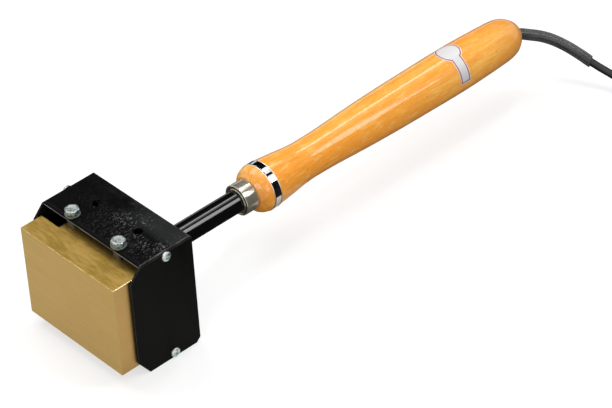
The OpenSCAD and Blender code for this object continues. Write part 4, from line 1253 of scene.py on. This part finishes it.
def wire(name, points, radius, material, slot, *replaced):
    made = follow(name, [mm(*p) for p in points], radius, 3, straight=True)
    made.data.resolution_u = 1
    alone(made)
    bpy.ops.object.convert(target="MESH")
    return done(bpy.context.object, "tool", slot, material, *replaced, smooth=60)


glass_braid = braid("glass_braid", (238, 234, 220), (186, 180, 160))
for side, name, ports in ((-1, "left", (3, 4)), (1, "right", (2, 1))):
    for level, port, shift in ((2.5, ports[0], -1.1), (-2.5, ports[1], 1.1)):
        angle = math.radians(port * 72 - 90)
        bx, bz = 2.6 * math.cos(angle), 2.6 * math.sin(angle)
        sx, sz = side * 23.3, -6.2 + level
        ends = side * 5 + side * shift
        wire(f"heater_wire_{name}_{port}", [
            (sx, 59.7, sz), (sx, 60.9, sz), (sx * 0.85 + bx * 0.15, 62.2, sz * 0.85 + bz * 0.15),
            (sx * 0.25 + bx * 0.75, 63.2, sz * 0.25 + bz * 0.75), (bx, 67.2, bz), (bx, 73.2, bz),
            (bx, 248.5, bz), (ends, 263.5, 0), (ends, 271.5, 0)], 1, glass_braid, "wire_glass",
            "heater_leads_" + name)

earth_green = plastic("earth_green", (152, 176, 44))
wire("earth_lead", [(0, 60.4, -18.15), (0, 60.45, -16.2), (0, 61.4, -14.2), (0, 65.2, -5.6), (0, 67.7, -2.6),
                    (0, 73.2, -2.6), (0, 248.5, -2.6), (0, 265.5, 0), (0, 271.5, 0)], 1,
     earth_green, "wire_earth", "earth_wire")
cores = ((-1, "brown", (98, 58, 34)), (0, "green", (152, 176, 44)), (1, "blue", (44, 80, 160)))
for k, name, colour in cores:
    level = -0.7 if k else 1.2
    wire("core_" + name, [(k * 5, 289.5, 0), (k * 5, 295.5, 0), (k * 2.05, 319.5, level),
                          (k * 1.15, 329.5, level)], 1, plastic("core_" + name, colour), "core_pvc", "cord_cores")
wire("inner_lead", [(0, 329.5, 0), (0, 452, 0)], 3.25, cable_rubber, "cord_rubber", "inner_cord")

# %% [markdown]
# ## Finishes for the measured parts that stay
#
# Parts inside the head and the handle already have their true shape in the measured model.
# They keep it and get finishes of their own: cast block, heat-stained heaters, fibre board,
# fired ceramic, tinned copper and brass.

# %% Inner finishes
def grooved_steel_painted_light_and_shade():
    """Turned steel: fine rings a millimetre apart, whose bump catches the lamps above. The steel is painted dark as
    painted shade, with painted highlights on the crests of the rings.
    """
    made = Finish("grooved_steel_painted_light_and_shade", metallic=1.0)
    x, y, z = made.axes()
    rings = (z * math.tau).math("SINE") * 0.5 + 0.5
    worn = made.noise(300, 300, 300, 3, seed=4)
    made.feed(base_color=(rings * 0.6 + worn * 0.4).mix(linear(12, 10, 6), linear(112, 104, 80)),
              roughness=worn.step(0.3, 0.7, 0.16, 0.26))
    made.bump(rings, 0.00035)
    return made.material


fibre = cast("fibre_board", (128, 120, 102), (86, 79, 66), 0.9, 0.0, 220, 0.0002)
inner = {
    "spacer_sleeves": grooved_steel_painted_light_and_shade(),
    "heater_block": cast("cast_block", (112, 108, 104), (64, 60, 58), 0.5),
    "cartridge_heater_left": cast("stained_heater", (170, 156, 132), (104, 92, 96), 0.32),
    "heater_lock_screws": cast("dark_steel", (44, 44, 46), (22, 22, 24), 0.5),
    "standoff_spacers": zinc, "insulation_bottom": fibre, "insulation_left": fibre,
    "insulation_right": fibre, "insulation_rear": fibre,
    "wire_bush": cast("fired_ceramic", (240, 236, 224), (220, 214, 198), 0.3, 0.0, 60, 0.00003),
    "earth_lug": cast("tinned_copper", (206, 204, 198), (168, 164, 156), 0.28),
    "earth_screw": zinc,
    "stem_pins": cast("pin_steel", (176, 178, 182), (128, 130, 134), 0.3),
    "terminal_block": plastic("terminal_white", (232, 232, 226)),
    "terminal_inserts": cast("small_brass", (206, 172, 100), (158, 124, 62), 0.3),
    "cord_grip": cable_rubber,
    "plug_earth_contacts": plug_metal,
}
inner["cartridge_heater_right"] = inner["cartridge_heater_left"]
inner["terminal_screws"] = inner["terminal_inserts"]
for name, material in inner.items():
    nodes[name].data.materials.clear()
    nodes[name].data.materials.append(material)
bare = [n for n, o in nodes.items() if not o.hide_render and n not in inner]
print("measured parts with a finish:", len(inner), "shown without one:", bare)

# %% [markdown]
# ## The colour view, and sizes
#
# Last, the colour view is set to Standard, and the box of the measured model is printed.

# %% Finish
bpy.context.scene.view_settings.view_transform = "Standard"
alone()
print("measured box", [tuple(round(v, 4) for v in c) for c in cad_box])
